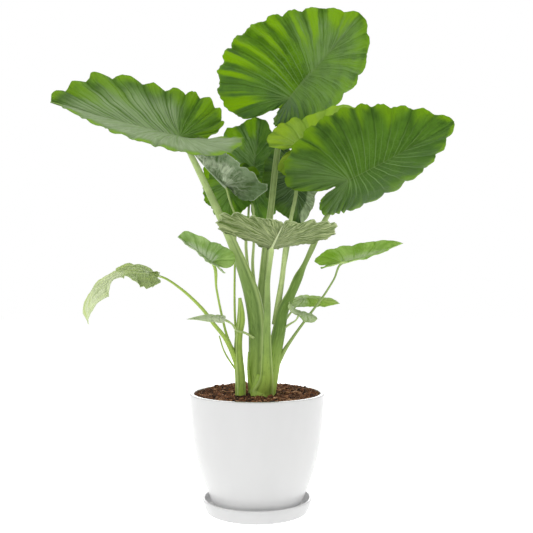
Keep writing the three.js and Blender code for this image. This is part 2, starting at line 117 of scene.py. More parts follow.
# Inputs are numbers, or vectors where no value is given, and all outputs are numbers
def startGroup(name, inputs, outputs):
    group = bpy.data.node_groups.new(name, "ShaderNodeTree")
    for label, value in inputs.items():
        kind = "NodeSocketVector" if value is None else "NodeSocketFloat"
        socket = group.interface.new_socket(name=label, in_out="INPUT", socket_type=kind)
        if value is not None:
            socket.default_value = value
    for label in outputs:
        group.interface.new_socket(name=label, in_out="OUTPUT", socket_type="NodeSocketFloat")
    return group, group.nodes.new("NodeGroupInput").outputs, group.nodes.new("NodeGroupOutput").inputs


# A new material with its shader, its look with the colours ready, and the place on the object
def startMaterial(name, look):
    material = bpy.data.materials.new(name)
    material.use_nodes = True
    tree = material.node_tree
    look = {key: srgb(*value) if isinstance(value, tuple) and len(value) == 3 else value
            for key, value in look.items()}
    place = addNode(tree, "ShaderNodeTexCoord").outputs["Object"]
    return material, tree.nodes["Principled BSDF"], look, place


def attribute(shader, name):
    return addNode(shader.id_data, "ShaderNodeAttribute", attribute_name=name).outputs


def cellEdges(vector, scale):
    inputs = {"Vector": vector, "Scale": scale}
    return joinNode("ShaderNodeTexVoronoi", inputs, feature="DISTANCE_TO_EDGE").outputs["Distance"]


def addBump(shader, height, strength, distance):
    bump = joinNode("ShaderNodeBump", {"Height": height, "Strength": strength, "Distance": distance})
    feed(shader.inputs["Normal"], bump.outputs[0])


# Two colours mixed, and others laid over them. A layer is how much of it shows, and its name in the look.
def layered(look, factor, first, second, *layers):
    colour = mixColour(factor, look[first], look[second])
    for amount, key in layers:
        colour = mixColour(amount, colour, look[key])
    return colour


# Where the veins, the painted light stripes, the grooves that carry painted shade, the midrib and
# the margin lie on a blade. Blade is (along, out, 0), with out signed by the side of the midrib.
# The margin has one wave between two main veins.
patternOutputs = ["Stripe", "GrooveAndPaintedShade", "Vein", "Midrib", "Margin", "Streak", "Net", "Panel"]


def makeLeafPattern():
    group, given, found = startGroup(
        "leafPattern",
        {"Blade": None, "Waves": 8.0, "Seed": 0.0, "Stripe Start": 0.4, "Fan": 0.42, "Pleats": 0.0},
        patternOutputs)
    along, signedOut = splitVector(given["Blade"])[:2]
    out = calc("ABSOLUTE", signedOut)
    own = linear(calc("SIGN", signedOut), 17.3, given["Seed"])
    drift = linear(noise(given["Blade"], 5.0, 1.0), 0.16, -0.08)
    phase = linear(along, given["Waves"], drift)
    offVein = calc("PINGPONG", phase, 0.5)

    def spot(across, outward):
        inputs = {"X": times(phase, across), "Y": times(out, outward), "Z": own}
        return joinNode("ShaderNodeCombineXYZ", inputs).outputs[0]

    # Painted light stripes, bright where light comes through the blade and catches one side of each
    # vein, of uneven width and starting at uneven places
    lean = calc("SINE", linear(phase, 2 * pi, -1.1))
    broad = linear(lean, 0.09, noise(spot(1.5, 0.7), 1.0, 2.0, 0.5))
    begins = plus(given["Stripe Start"], linear(noise(spot(0.9, 0.0), 1.0, 1.0, 0.5), -1.6, 0.75))
    paintedLitStripe = times(smoothRamp(broad, 0.45, 0.6), smoothRamp(out, begins, plus(begins, 0.4)))

    # Main veins with a crease beside each, a faint one halfway, and pleats at the quarters. Hollows,
    # creases and pleats make the groove, which dents the relief and is darkened as painted shade.
    past = smoothRamp(along, given["Fan"], plus(given["Fan"], 0.25), 0.06, 0.6)
    near = largest(out, past)
    beside = calc("PINGPONG", plus(phase, calc("DIVIDE", -0.035, near)), 0.5)
    strong = smoothRamp(times(beside, near), 0.04, 0.008)
    faint = smoothRamp(times(calc("SUBTRACT", 0.5, offVein), near), 0.01, 0.035, 0.6, 0.0)
    vein = times(largest(strong, faint), smoothRamp(out, 0.2, 0.8, 1.0, 0.12))
    hollow = largest(smoothRamp(offVein, 0.0, 0.16, 0.6, 0.0), smoothRamp(offVein, 0.42, 0.5, 0.0, 0.3))
    valley = times(hollow, smoothRamp(out, 0.05, 0.35, 0.3, 1.0))
    creaseAndPaintedShade = times(smoothRamp(times(offVein, near), 0.03, 0.008), smoothRamp(out, 0.02, 0.2, 0.25, 1.0))
    quarter = times(calc("ABSOLUTE", calc("SUBTRACT", offVein, 0.25)), near)
    pleat = times(smoothRamp(quarter, 0.024, 0.006), given["Pleats"])

    values = (paintedLitStripe, largest(valley, creaseAndPaintedShade, pleat), vein, smoothRamp(out, 0.009, 0.002),
              smoothRamp(out, 0.97, 0.997), noise(spot(7.0, 2.0), 1.4, 4.0, 0.6),
              smoothRamp(cellEdges(spot(3.2, 20.0), 1.0), 0.1, 0.0), smoothRamp(offVein, 0.06, 0.32))
    for label, value in zip(patternOutputs, values):
        feed(found[label], value)
    return group


leafPattern = makeLeafPattern()


# Fine skin shared by blades and stalks: soft mottling and a small raised net
def makePlantSkin():
    group, given, found = startGroup("plantSkin", {"Place": None, "Size": 1.0}, ["Mottle", "Net"])
    place = joinNode("ShaderNodeVectorMath", {0: given["Place"], "Scale": given["Size"]}, operation="SCALE")
    feed(found["Mottle"], noise(place.outputs[0], 26.0, 4.0, 0.6))
    feed(found["Net"], smoothRamp(cellEdges(place.outputs[0], 420.0), 0.0, 0.25))
    return group


plantSkin = makePlantSkin()

# What a leaf looks like unless its own dictionary says otherwise. Pairs are for the left and right
# of the midrib, and one number serves for both. The grey sheen is painted sheen, a painted
# reflection of the bright studio, laid between two places along the margin and out to a reach from
# the midrib. The margin band is more painted sheen along the margin; on the lower face it lays a
# colour of its own there, painted sheen where that is lighter and painted shade where it is darker.
# The shade colour is painted shade round the notch, and it also darkens fibres. The stripe colour is
# painted light where light comes through the blade and catches one side of each vein, also laid as
# lit crests at the margin. The grooves are darkened toward the deep colour as painted shade.
usualLook = dict(
    deep=(66, 102, 16), mid=(102, 148, 20), paintedLitStripe=(138, 184, 0), vein=(132, 164, 92),
    rib=(128, 160, 86), edge=(130, 166, 50), paintedSheen=(142, 168, 116), paintedSheens=(0.15, 0.35), paintedSheenFrom=-0.2,
    paintedSheenTo=1.2, paintedSheenReach=0.55, paintedSheenGrain=0.6, paintedMarginBands=0.0, paintedMarginBandStart=0.7, grooveAndPaintedShades=1.0,
    shades=0.0, shadeTo=0.35, shade=(74, 100, 48), paintedLitStripeStart=0.4, paintedLitStripes=0.9, paintedLitTips=0.0, veins=0.5,
    nets=0.2, under=(112, 140, 78), underDeep=(78, 106, 50), underVein=(164, 184, 124),
    underPaintedMarginBand=(150, 172, 110), underShade=(78, 106, 50), underVeins=0.85, lined=1.0, pleats=0.0,
    fibres=0.0, glow=0.3, glowColour=(160, 214, 10), relief=0.6, skinSize=1.0,
)


def leafMaterial(name, leaf):
    material, shader, look, place = startMaterial(name, {**usualLook, **leaf["look"]})
    blade = attribute(shader, "blade")["Vector"]
    paintedLitStripe, grooveAndPaintedShade, vein, midrib, margin, streak, net, panel = joinNode("ShaderNodeGroup", {
        "Blade": blade, "Waves": leaf["waves"], "Seed": leaf["seed"],
        "Stripe Start": look["paintedLitStripeStart"], "Fan": leaf["fan"], "Pleats": look["pleats"],
    }, node_tree=leafPattern).outputs
    mottle, raisedNet = joinNode("ShaderNodeGroup", {
        "Place": place, "Size": look["skinSize"],
    }, node_tree=plantSkin).outputs
    along, signedOut = splitVector(blade)[:2]
    out = calc("ABSOLUTE", signedOut)
    side = smoothRamp(signedOut, -0.03, 0.03)

    def bySide(key, added=0.0):
        left, right = np.broadcast_to(look[key], 2).tolist()
        return linear(side, left - right, right + added)

    # The grooves dent the relief below and are darkened as painted shade
    grooveAndPaintedShade = times(grooveAndPaintedShade, bySide("grooveAndPaintedShades"))
    # Painted light: lit stripes where light comes through and catches one side of each vein, and lit crests
    # at the margin
    paintedLitStriped = largest(times(paintedLitStripe, bySide("paintedLitStripes")),
                      times(smoothRamp(out, 0.84, 0.97), panel, bySide("paintedLitTips")))
    fine = smoothRamp(streak, 0.38, 0.66)
    # Painted shade round the notch, where the base of the blade lies in shade
    paintedNotchShade = times(smoothRamp(along, look["shadeTo"] + 0.08, look["shadeTo"] - 0.12), bySide("shades"))
    # Painted sheen: a painted reflection of the bright studio, set by side, along the margin and out from
    # the midrib
    paintedSheenMask = times(
        bySide("paintedSheens"),
        smoothRamp(out, bySide("paintedSheenReach"), bySide("paintedSheenReach", 0.4), 1.0, 0.15),
        smoothRamp(along, bySide("paintedSheenFrom", -0.06), bySide("paintedSheenFrom", 0.06)),
        smoothRamp(along, bySide("paintedSheenTo", 0.06), bySide("paintedSheenTo", -0.06)),
        linear(fine, look["paintedSheenGrain"], 1 - look["paintedSheenGrain"]),
        linear(grooveAndPaintedShade, -0.8, 1.0), linear(paintedLitStriped, -0.8, 1.0))
    # Painted margin band: painted sheen along the margin, and on the lower face a painted margin colour,
    # lighter or darker than the face
    paintedMarginBand = times(smoothRamp(out, look["paintedMarginBandStart"], look["paintedMarginBandStart"] + 0.16), bySide("paintedMarginBands"),
                 linear(fine, 0.5, 0.5))

    # Upper face: painted shade round the notch and in the grooves, painted light stripes and crests,
    # and painted sheen, with the veins, net, midrib and margin over them
    tone = plus(times(mottle, 0.6), times(streak, 0.4))
    lace = times(net, smoothRamp(out, 0.25, 0.7, 1.0, 0.15), look["nets"])
    layers = [(paintedNotchShade, "shade"), (times(grooveAndPaintedShade, 0.7), "deep"), (paintedLitStriped, "paintedLitStripe"),
              (largest(paintedSheenMask, paintedMarginBand), "paintedSheen"), (largest(times(vein, look["veins"]), lace), "vein")]
    # Fibres are the leaf's own lines: light ones in the stripe colour, dark ones in the shade colour
    if look["fibres"]:
        fibre = noise(scaled(blade, (1.0, 5.0, 1.0)), 1.0, 1.0)
        layers += [(times(smoothRamp(fibre, 0.5, 0.6), look["fibres"]), "paintedLitStripe"),
                   (times(smoothRamp(fibre, 0.42, 0.36), look["fibres"]), "shade")]
    layers += [(times(midrib, 0.5), "rib"), (times(margin, 0.5), "edge")]
    upper = layered(look, smoothRamp(tone, 0.36, 0.6), "deep", "mid", *layers)

    # Lower face: paler, finely lined or mottled, with its veins standing out. Painted shade round the
    # notch and in the grooves, a little of the painted light stripes, and the painted margin band.
    grain = plus(times(fine, look["lined"]), times(smoothRamp(mottle, 0.4, 0.62), 1 - look["lined"]))
    raised = largest(times(vein, look["underVeins"]), times(midrib, 0.85))
    lower = layered(
        look, grain, "underDeep", "under",
        (times(paintedNotchShade, 0.8), "underShade"), (times(paintedLitStriped, 0.35), "paintedLitStripe"),
        (times(grooveAndPaintedShade, 0.35 * look["lined"]), "underDeep"), (times(raised, look["lined"]), "underVein"),
        (times(paintedMarginBand, 0.9), "underPaintedMarginBand"), (times(margin, 0.6), "underVein"))
    colour = mixColour(attribute(shader, "under")["Fac"], upper, lower)
    feedAll(shader, {
        "Base Color": colour, "Specular IOR Level": 0.1,
        "Roughness": smoothRamp(mottle, 0.2, 0.8, 0.44, 0.62),
    })
    relief = linear(net, -0.6 * look["nets"], linear(streak, 1.3, times(grooveAndPaintedShade, -0.9)))
    relief = linear(raisedNet, 0.08, plus(relief, times(mottle, 0.4)))
    addBump(shader, relief, look["relief"], 0.002)

    # Light that comes through the blade
    lit = mixColour(0.5, colour, look["glowColour"])
    through = joinNode("ShaderNodeBsdfTranslucent", {"Color": lit}).outputs[0]
    both = joinNode("ShaderNodeMixShader", {0: look["glow"], 1: shader.outputs[0], 2: through})
    feed(material.node_tree.nodes["Material Output"].inputs["Surface"], both.outputs[0])
    return material


def addObject(name, data):
    thing = bpy.data.objects.new(name, data)
    bpy.context.scene.collection.objects.link(thing)
    return thing


# A mesh object from points in millimetres. Corner values are one vector for each face corner.
def addPiece(name, points, faces, material, cornerValues=None, pointValues=None, sharp=()):
    mesh = bpy.data.meshes.new(name)
    mesh.from_pydata((np.asarray(points) * mm).tolist(), [], faces)
    for key, values in (cornerValues or {}).items():
        layer = mesh.attributes.new(name=key, type="FLOAT_VECTOR", domain="CORNER")
        layer.data.foreach_set("vector", np.asarray(values, dtype=np.float32).ravel())
    for key, values in (pointValues or {}).items():
        layer = mesh.attributes.new(name=key, type="FLOAT", domain="POINT")
        layer.data.foreach_set("value", np.asarray(values, dtype=np.float32))
    mesh.shade_smooth()
    for edge in mesh.edges if sharp else ():
        edge.use_edge_sharp = tuple(sorted(edge.vertices)) in sharp
    mesh.materials.append(material)
    piece = addObject(name, mesh)
    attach(piece, "root")
    return piece


# Leaf outlines: reach from the stalk at these angles from the midrib, in shares of the length. The
# veins of the share `fan` of the margin start at the stalk.
reachAngles = np.radians([180, 172, 155, 130, 102, 76, 52, 32, 15, 0])
heart = [0.12, 0.28, 0.45, 0.53, 0.53, 0.56, 0.65, 0.76, 0.88, 1]
narrowHeart = [0.12, 0.27, 0.40, 0.40, 0.38, 0.40, 0.48, 0.63, 0.82, 1]
strap = [0.08, 0.10, 0.12, 0.13, 0.14, 0.15, 0.18, 0.25, 0.45, 1]

usualLeaf = dict(
    left=heart, right=heart, fold=(8, 8), curl=(15, 15), tip=20, lobe=15, waves=8, ripple=3.5,
    scallop=0.04, sway=3, waist=0, rib=2.4, seed=1, tooth=0.008, panel=0.6, frill=1.2, crumple=0.6,
    calm=1, lobed=0, fan=0.42, slot="leaf_green",
)
lastVein = 0.62          # how far along the midrib the last vein starts
veinBow = 0.03
waistAt = 0.36           # where a wilted blade is drawn in, in shares of its length
waistSpan = 0.14
bladeThickness = 0.9
rowsPerWave = 12
bladeColumns = 26
ribRings = 30
ribSides = 12


def splineAt(values, along):
    values = np.asarray(values, dtype=float)
    last = len(values) - 1
    place = np.clip(along, 0, 1) * last
    i = np.minimum(place.astype(int), last - 1)
    f = place - i
    a, b, c, d = (values[np.clip(i + step, 0, last)] for step in (-1, 0, 1, 2))
    return 0.5 * (2 * b + (c - a) * f + (2 * a - 5 * b + 4 * c - d) * f ** 2
                  + (3 * b - a - 3 * c + d) * f ** 3)


def uneven(k, seed):
    value = np.sin(k * 12.9898 + seed * 78.233) * 43758.5453
    return value - np.floor(value)


def bladeAxes(leaf):
    heading, pitch, roll = (radians(leaf[key]) for key in ("heading", "pitch", "roll"))
    forward = np.array([cos(heading) * cos(pitch), sin(heading) * cos(pitch),
                        sin(pitch)])
    level = np.array([-sin(heading), cos(heading), 0])
    left = level * cos(roll) + np.cross(forward, level) * sin(roll)
    return forward, left, np.cross(forward, left)


# Folds the flat leaf at its midrib, curls its sides and bends it along its length
def bendLeaf(leaf, side, x, y, h):
    which = 1 if side < 0 else 0
    foldLeft, foldRight = (radians(angle) for angle in leaf["fold"])
    fold = (foldLeft - foldRight) / 2 if side == 0 else (foldLeft, foldRight)[which]
    curl = (radians(leaf["curl"][which]) + 1e-4) / (0.5 * leaf["length"])
    slope = fold + curl * y
    outward = (np.sin(slope) - sin(fold)) / curl + h * np.sin(slope)
    lift = (np.cos(slope) - cos(fold)) / curl + h * np.cos(slope)
    turn = np.where(x > 0, radians(leaf["tip"]) / leaf["length"],
                    radians(leaf["lobe"]) / (0.5 * leaf["length"])) + 1e-7
    arc = turn * np.abs(x)
    reach = np.sign(x) * np.sin(arc) * (1 / turn + lift)
    height = (np.cos(arc) - 1) / turn + lift * np.cos(arc)
    forward, left, up = leaf["axes"]
    return (np.array(leaf["at"]) + reach[..., None] * forward
            + ((side or 1) * outward)[..., None] * left + height[..., None] * up)


def bladePoints(leaf, side, along, out):
    reaches = np.array(leaf["left"] if side > 0 else leaf["right"])
    waves, seed = leaf["waves"], leaf["seed"]
    marginX = splineAt(reaches * np.cos(reachAngles), along)
    marginY = splineAt(reaches * np.sin(reachAngles), along)
    start = lastVein * np.maximum(0, (along - leaf["fan"]) / (1 - leaf["fan"])) ** 1.4
    wave = np.floor(np.minimum(along * waves, waves - 0.001))
    height = 0.75 + 0.5 * uneven(wave, seed + (1 if side > 0 else 0))
    crest = np.abs(np.sin(pi * waves * along)) ** 0.7 * height
    rounded = np.sin(pi * waves * along) ** 2 * height
    scallop = leaf["scallop"] + (leaf["lobed"] * np.exp(-(along / 0.5) ** 4) if side > 0 else 0)
    spread = out * (1 + scallop * (rounded - 0.5) * out ** 3)
    tooth = np.floor(np.minimum(along * waves * 2, 2 * waves - 0.001))
    toothSize = uneven(tooth, seed + (4 if side > 0 else 7))
    narrow = np.abs(np.sin(2 * pi * waves * along)) ** 0.7
    nibble = np.sin(14.4 * waves * along + seed) + 0.8 * np.sin(23.1 * waves * along + 3 * side * seed)
    spread = spread * (1 + leaf["tooth"] * nibble * np.sin(pi * along) ** 0.3 * out ** 7)
    bow = veinBow * np.sin(pi * out) * np.sin(pi * along)
    x = leaf["length"] * (start + (marginX - start) * spread + bow)
    drawnIn = 1 - leaf["waist"] * np.exp(-((x / leaf["length"] - waistAt) / waistSpan) ** 2)
    y = leaf["length"] * marginY * spread * drawnIn
    sway = leaf["sway"] * np.sin(4 * pi * along + seed) * np.sin(pi * along)
    calm = leaf["calm"] if side > 0 else 1
    h = calm * leaf["ripple"] * crest * out ** 1.3 + sway * out * out

    # Finer relief than the outline: narrow panels, a frilled margin and a soft crumple
    ends = np.clip(np.minimum(along, 1 - along) * 30, 0, 1) * np.clip(out * 12, 0, 1)
    h = h + ends * calm * leaf["panel"] * (narrow - 0.6) * out * (0.2 + 1.4 * toothSize)
    h = h + ends * leaf["frill"] * out ** 7 * (0.3 + 1.4 * toothSize) * np.sin(
        2 * pi * waves * 1.3 * along + 5 * seed)
    rough = (np.sin(0.11 * x + 0.07 * y * side + seed) * np.sin(0.10 * y - 0.05 * x * side + 2 * seed)
             + 0.6 * np.sin(0.23 * x - 0.19 * y + 3 * seed) * np.sin(0.17 * x * side + 0.27 * y)
             + 0.35 * np.sin(0.55 * x + 0.2 * y) * np.sin(0.47 * y - 0.31 * x + seed))
    h = h + ends * leaf["crumple"] * rough
    return bendLeaf(leaf, side, x, y, h)


def tubeRings(centres, radii, sides, section=None):
    centres = np.asarray(centres, dtype=float)
    tangents = np.gradient(centres, axis=0)
    across = np.array([0.0, -1.0, 0.0])
    angles = 2 * pi * np.arange(sides) / sides
    rings = []
    for place, (centre, tangent, radius) in enumerate(zip(centres, tangents, radii)):
        tangent = tangent / np.linalg.norm(tangent)
        across = across - tangent * np.dot(across, tangent)
        across = across / np.linalg.norm(across)
        beside = np.cross(tangent, across)
        reach = radius * (section(place / (len(centres) - 1), angles) if section else np.ones(sides))
        rings.append(centre + (reach * np.cos(angles))[:, None] * across
                     + (reach * np.sin(angles))[:, None] * beside)
    return np.array(rings)


# Rings of quads round a tube or a turned form
def gridFaces(rows, sides, first=0):
    faces = []
    for i, k in np.ndindex(rows, sides):
        a, b = first + i * sides + k, first + i * sides + (k + 1) % sides
        faces.append((a, b, b + sides, a + sides))
    return faces


def ringFaces(count, sides, first=0):
    end = first + (count - 1) * sides
    caps = [tuple(range(first, first + sides))[::-1], tuple(range(end, end + sides))]
    return gridFaces(count - 1, sides, first) + caps


def buildLeaf(name, node, settings):
    leaf = {**usualLeaf, **settings}
    leaf["axes"] = bladeAxes(leaf)
    leaf["wedge"] = 1 / cos(max(0, radians(sum(leaf["fold"])) / 2))
    rows, columns = leaf["waves"] * rowsPerWave, bladeColumns
    along = np.linspace(0, 1, rows + 1)[:, None]
    out = np.linspace(0, 1, columns + 1)[None, :] ** 0.85
    points, corners, sheet, values = [], {}, [], []

    # The two halves share the midrib, the seam over the stalk and the tip
    for side in (1, -1):
        grid = bladePoints(leaf, side, along, out)
        table = np.zeros((rows + 1, columns + 1), dtype=int)
        for i, j in np.ndindex(rows + 1, columns + 1):
            if j == 0 and along[i, 0] <= leaf["fan"]:
                key = "hub"
            elif j == 0 or i in (0, rows):
                key = (i, j)
            else:
                key = (i, j, side)
            if key not in corners:
                corners[key] = len(points)
                points.append(grid[i, j])
            table[i, j] = corners[key]
        for i, j in np.ndindex(rows, columns):
            ring = [(i, j), (i + 1, j), (i + 1, j + 1), (i, j + 1)]
            if side < 0:
                ring = [ring[1], ring[0], ring[3], ring[2]]
            face, marks = [], []
            for a, b in ring:
                if table[a, b] not in face:
                    face.append(int(table[a, b]))
                    marks.append((along[a, 0], side * out[0, b], 0))
            if len(face) > 2:
                sheet.append(face)
                values.append(marks)

    # Thickness: both faces stand half of it from the sheet
    points = np.array(points)
    count = len(points)
    normals = np.zeros_like(points)
    for face in sheet:
        a, b, c = points[face[0]], points[face[1]], points[face[2]]
        normal = np.cross(b - a, c - a)
        if len(face) == 4:
            normal = normal + np.cross(c - a, points[face[3]] - a)
        normals[face] += normal
    normals /= np.maximum(np.linalg.norm(normals, axis=1), 1e-9)[:, None]
    half = 0.5 * bladeThickness * normals
    solid = np.vstack([points + half, points - half])
    faces = list(sheet) + [[count + corner for corner in reversed(face)] for face in sheet]
    marks = [value for ring in values for value in ring]
    marks += [value for ring in values for value in reversed(ring)]
    edges = {edge for face in sheet for edge in zip(face, face[1:] + face[:1])}
    rim = sorted(edge for edge in edges if edge[::-1] not in edges)
    faces += [[a, count + a, count + b, b] for a, b in rim]
    marks += [(0.5, 1.0, 0)] * (4 * len(rim))
    sharp = {tuple(sorted((a + lower, b + lower))) for a, b in rim for lower in (0, count)}

    # Midrib, raised under the blade
    shares = np.linspace(-0.02, 0.97, ribRings)
    radii = leaf["rib"] * (1 - shares) ** 0.8
    centres = bendLeaf(leaf, 0, shares * leaf["length"], np.zeros(ribRings), -0.9 * radii * leaf["wedge"])
    ribFaces = ringFaces(ribRings, ribSides, len(solid))
    faces += ribFaces
    marks += [(0.5, 0.0, 0)] * sum(len(face) for face in ribFaces)
    solid = np.vstack([solid, tubeRings(centres, radii, ribSides).reshape(-1, 3)])
    under = np.concatenate([np.zeros(count), np.ones(count + ribRings * ribSides)])

    material = leafMaterial(name + "Skin", leaf)
    piece = addPiece(name, solid, faces, material, {"blade": marks}, {"under": under}, sharp)
    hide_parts(node)
    print("leaf", name, len(faces), "faces")
    return leaf


topLeaf = dict(
    at=(61, 60, 780), heading=25, pitch=49, roll=66, length=270,
    left=[0.15, 0.12, 0.35, 0.49, 0.55, 0.64, 0.71, 0.78, 0.89, 1],
    right=[0.15, 0.22, 0.22, 0.20, 0.23, 0.32, 0.60, 0.93, 1.00, 1],
    fold=(0, 46), curl=(9, 36), tip=10, lobe=17, waves=15, ripple=4, rib=3.6, seed=3,
    look=dict(
        deep=(66, 104, 8), mid=(104, 150, 12), paintedLitStripeStart=0.3, paintedSheens=(0.75, 0.5),
        paintedSheenFrom=(0.74, -0.2), paintedSheenReach=0.6, paintedLitStripes=(1.0, 0.4), paintedLitTips=(0.0, 0.5), shades=(0.3, 0.9),
        shadeTo=0.5, shade=(84, 110, 90), grooveAndPaintedShades=(1.0, 0.5), veins=0.7, nets=0.3, pleats=0.4),
)
rightLeaf = dict(
    at=(167, -30, 609), heading=12, pitch=26, roll=68, length=228,
    left=[0.12, 0.25, 0.48, 0.525, 0.54, 0.59, 0.66, 0.73, 0.86, 1],
    right=[0.12, 0.28, 0.38, 0.41, 0.44, 0.57, 0.66, 0.78, 0.86, 1],
    fold=(-5, 64), curl=(1, 36), tip=-19, lobe=39, waves=14, ripple=4, rib=3.4, seed=5,
    look=dict(
        deep=(62, 96, 28), mid=(90, 130, 40), paintedLitStripeStart=0.65, paintedSheens=(0.45, 0.4), paintedSheenTo=0.36,
        paintedSheenReach=0.9, paintedLitStripes=(0.6, 0.3), shades=(0.0, 0.6), shadeTo=1.2, shade=(60, 90, 34),
        paintedLitTips=(0.7, 0.5), grooveAndPaintedShades=(0.7, 0.6), veins=0.7),
)
leftLeaf = dict(
    at=(-140, -40, 687), heading=193, pitch=11, roll=-25, length=237,
    left=[0.10, 0.31, 0.53, 0.58, 0.53, 0.56, 0.64, 0.74, 0.88, 1],
    right=[0.10, 0.26, 0.39, 0.49, 0.50, 0.47, 0.60, 0.81, 0.92, 1],
    fold=(-14, -28), curl=(25, -9), tip=-3, lobe=-30, waves=12, ripple=6, calm=0.6, scallop=0.07,
    fan=0.6, tooth=0.005, rib=3.4, seed=7,
    look=dict(
        deep=(68, 104, 22), mid=(98, 140, 34), paintedLitStripeStart=0.5, paintedSheens=(1.0, 0.7), paintedSheenFrom=(-0.2, 0.5),
        paintedSheenTo=(1.2, 1.05), paintedSheenReach=(0.8, 0.5), paintedSheenGrain=0.3, paintedSheen=(186, 203, 163),
        paintedLitStripes=(0.1, 0.6), paintedLitTips=(1.0, 0.7), grooveAndPaintedShades=(0.3, 1.0), veins=0.7, pleats=0.8),
)
# Its paler, greyer colours are partly painted light, lifting the shade it lies in at the back
backLeaf = dict(
    at=(-14, 115, 611), heading=71, pitch=68, roll=20, length=160,
    left=[0.12, 0.28, 0.45, 0.54, 0.57, 0.64, 0.75, 0.84, 0.92, 1], fold=(3, 35), curl=(6, 34), tip=-10,
    lobe=29, scallop=0.09, seed=9, tooth=0.014, ripple=5, frill=3, crumple=1.6,
    look=dict(
        paintedLitStripes=(1.0, 0.3), paintedLitStripeStart=0.3, deep=(68, 102, 40), mid=(112, 152, 64), paintedSheens=(0.5, 0.15),
        paintedSheen=(170, 192, 146), paintedSheenReach=0.7, vein=(150, 176, 116), pleats=0.5),
)
foldedLeaf = dict(
    at=(-59, 10, 603), heading=183, pitch=43, roll=50, length=105,
    left=[0.25, 0.42, 0.62, 0.90, 0.68, 0.66, 0.68, 0.76, 0.88, 1], fold=(5, -95), curl=(10, 10),
    tip=-10, lobe=10, ripple=5, seed=11, crumple=3.6, panel=0.8, slot="silver_green",
    look=dict(
        under=(218, 230, 200), underDeep=(98, 124, 80), underVein=(206, 218, 190),
        underPaintedMarginBand=(124, 150, 106), paintedMarginBands=0.9, paintedMarginBandStart=0.6, shades=0.8, shadeTo=0.45, lined=0.45,
        paintedSheens=0.7, paintedLitStripes=0.0, relief=1.0, glow=0.12, skinSize=1.7),
)
limeLeaf = dict(
    at=(79, 22, 680), heading=8, pitch=22, roll=74, length=145,
    left=[0.06, 0.19, 0.39, 0.46, 0.46, 0.46, 0.50, 0.81, 1.00, 1],
    right=[0.06, 0.24, 0.42, 0.41, 0.42, 0.48, 0.58, 0.79, 0.96, 1],
    fold=(13, 20), curl=(11, 12), tip=0, lobe=10, seed=13, slot="lime_green",
    look=dict(
        deep=(162, 198, 66), mid=(188, 220, 92), paintedLitStripe=(194, 226, 62), vein=(206, 228, 140),
        paintedSheens=(0.1, 0.9), paintedSheenReach=(0.5, 1.0), paintedSheenGrain=0.2, paintedSheen=(216, 240, 90),
        grooveAndPaintedShades=(1.0, 0.3), glow=0.5),
)
# Its darker colours are painted shade: this leaf hangs in the shade behind the others
shadeLeaf = dict(
    at=(78, 135, 655), heading=-78, pitch=-78, roll=0, length=125, left=narrowHeart,
    right=[0.12, 0.30, 0.46, 0.50, 0.52, 0.56, 0.66, 0.76, 0.88, 1],
    fold=(-10, 10), curl=(-80, 10), tip=-10, lobe=20, seed=15,
    look=dict(
        paintedLitStripes=0.2, deep=(44, 72, 32), mid=(78, 112, 52), paintedSheens=0.15, paintedMarginBands=(1.0, 0.0), paintedMarginBandStart=0.42,
        paintedSheen=(214, 230, 192), vein=(150, 176, 130), veins=1.0, glow=0.08),
)
frontLeaf = dict(
    at=(27, -95, 484), heading=-83, pitch=13, roll=-7, length=147,
    left=[0.08, 0.29, 0.52, 0.62, 0.65, 0.75, 0.86, 0.88, 0.92, 1],
    right=[0.08, 0.27, 0.49, 0.64, 0.66, 0.71, 0.82, 0.80, 0.88, 1],
    fold=(-17, -18), curl=(1, 7), tip=3, lobe=-23, waves=10, scallop=0.05, seed=17, frill=1.0,
    crumple=1.4, slot="silver_green",
    look=dict(
        under=(180, 192, 138), underDeep=(86, 106, 52), underVein=(206, 216, 170), paintedLitStripes=0.1,
        underVeins=0.4, relief=1.0, glow=0.15),
)
lowLeftLeaf = dict(
    at=(-49, 68, 624), heading=258, pitch=-68, roll=0, length=82,
    left=[0.12, 0.28, 0.50, 0.65, 0.70, 0.72, 0.76, 0.80, 0.90, 1],
    right=[0.12, 0.32, 0.58, 0.76, 0.82, 0.84, 0.86, 0.87, 0.93, 1],
    fold=(10, 10), tip=10, lobe=10, waves=7, seed=19, tooth=0.014,
    look=dict(
        paintedLitStripes=0.5, deep=(70, 106, 28), mid=(104, 146, 40), shades=1.0, shadeTo=0.3, shade=(60, 92, 32),
        under=(110, 148, 56), underDeep=(78, 114, 36), underVein=(128, 162, 78)),
)
# Its pale colours are partly painted light, lifting the shade of the big leaves above it
smallRightLeaf = dict(
    at=(157, -10, 458), heading=8, pitch=13, roll=13, length=124, left=narrowHeart, right=narrowHeart,
    fold=(-21, -13), curl=(-1, 4), tip=-9, lobe=1, waves=6, ripple=2, sway=2, rib=1.8, seed=21,
    frill=0.8,
    look=dict(
        deep=(156, 194, 70), mid=(206, 232, 128), under=(214, 232, 160), underDeep=(178, 206, 112),
        underVein=(222, 234, 186), vein=(218, 232, 176), paintedLitStripes=0.4, paintedSheens=(1.0, 0.6),
        paintedSheenFrom=(0.45, -0.2), paintedSheenReach=(0.06, 0.5), paintedSheenGrain=0.3, paintedSheen=(244, 248, 226), glow=0.4),
)
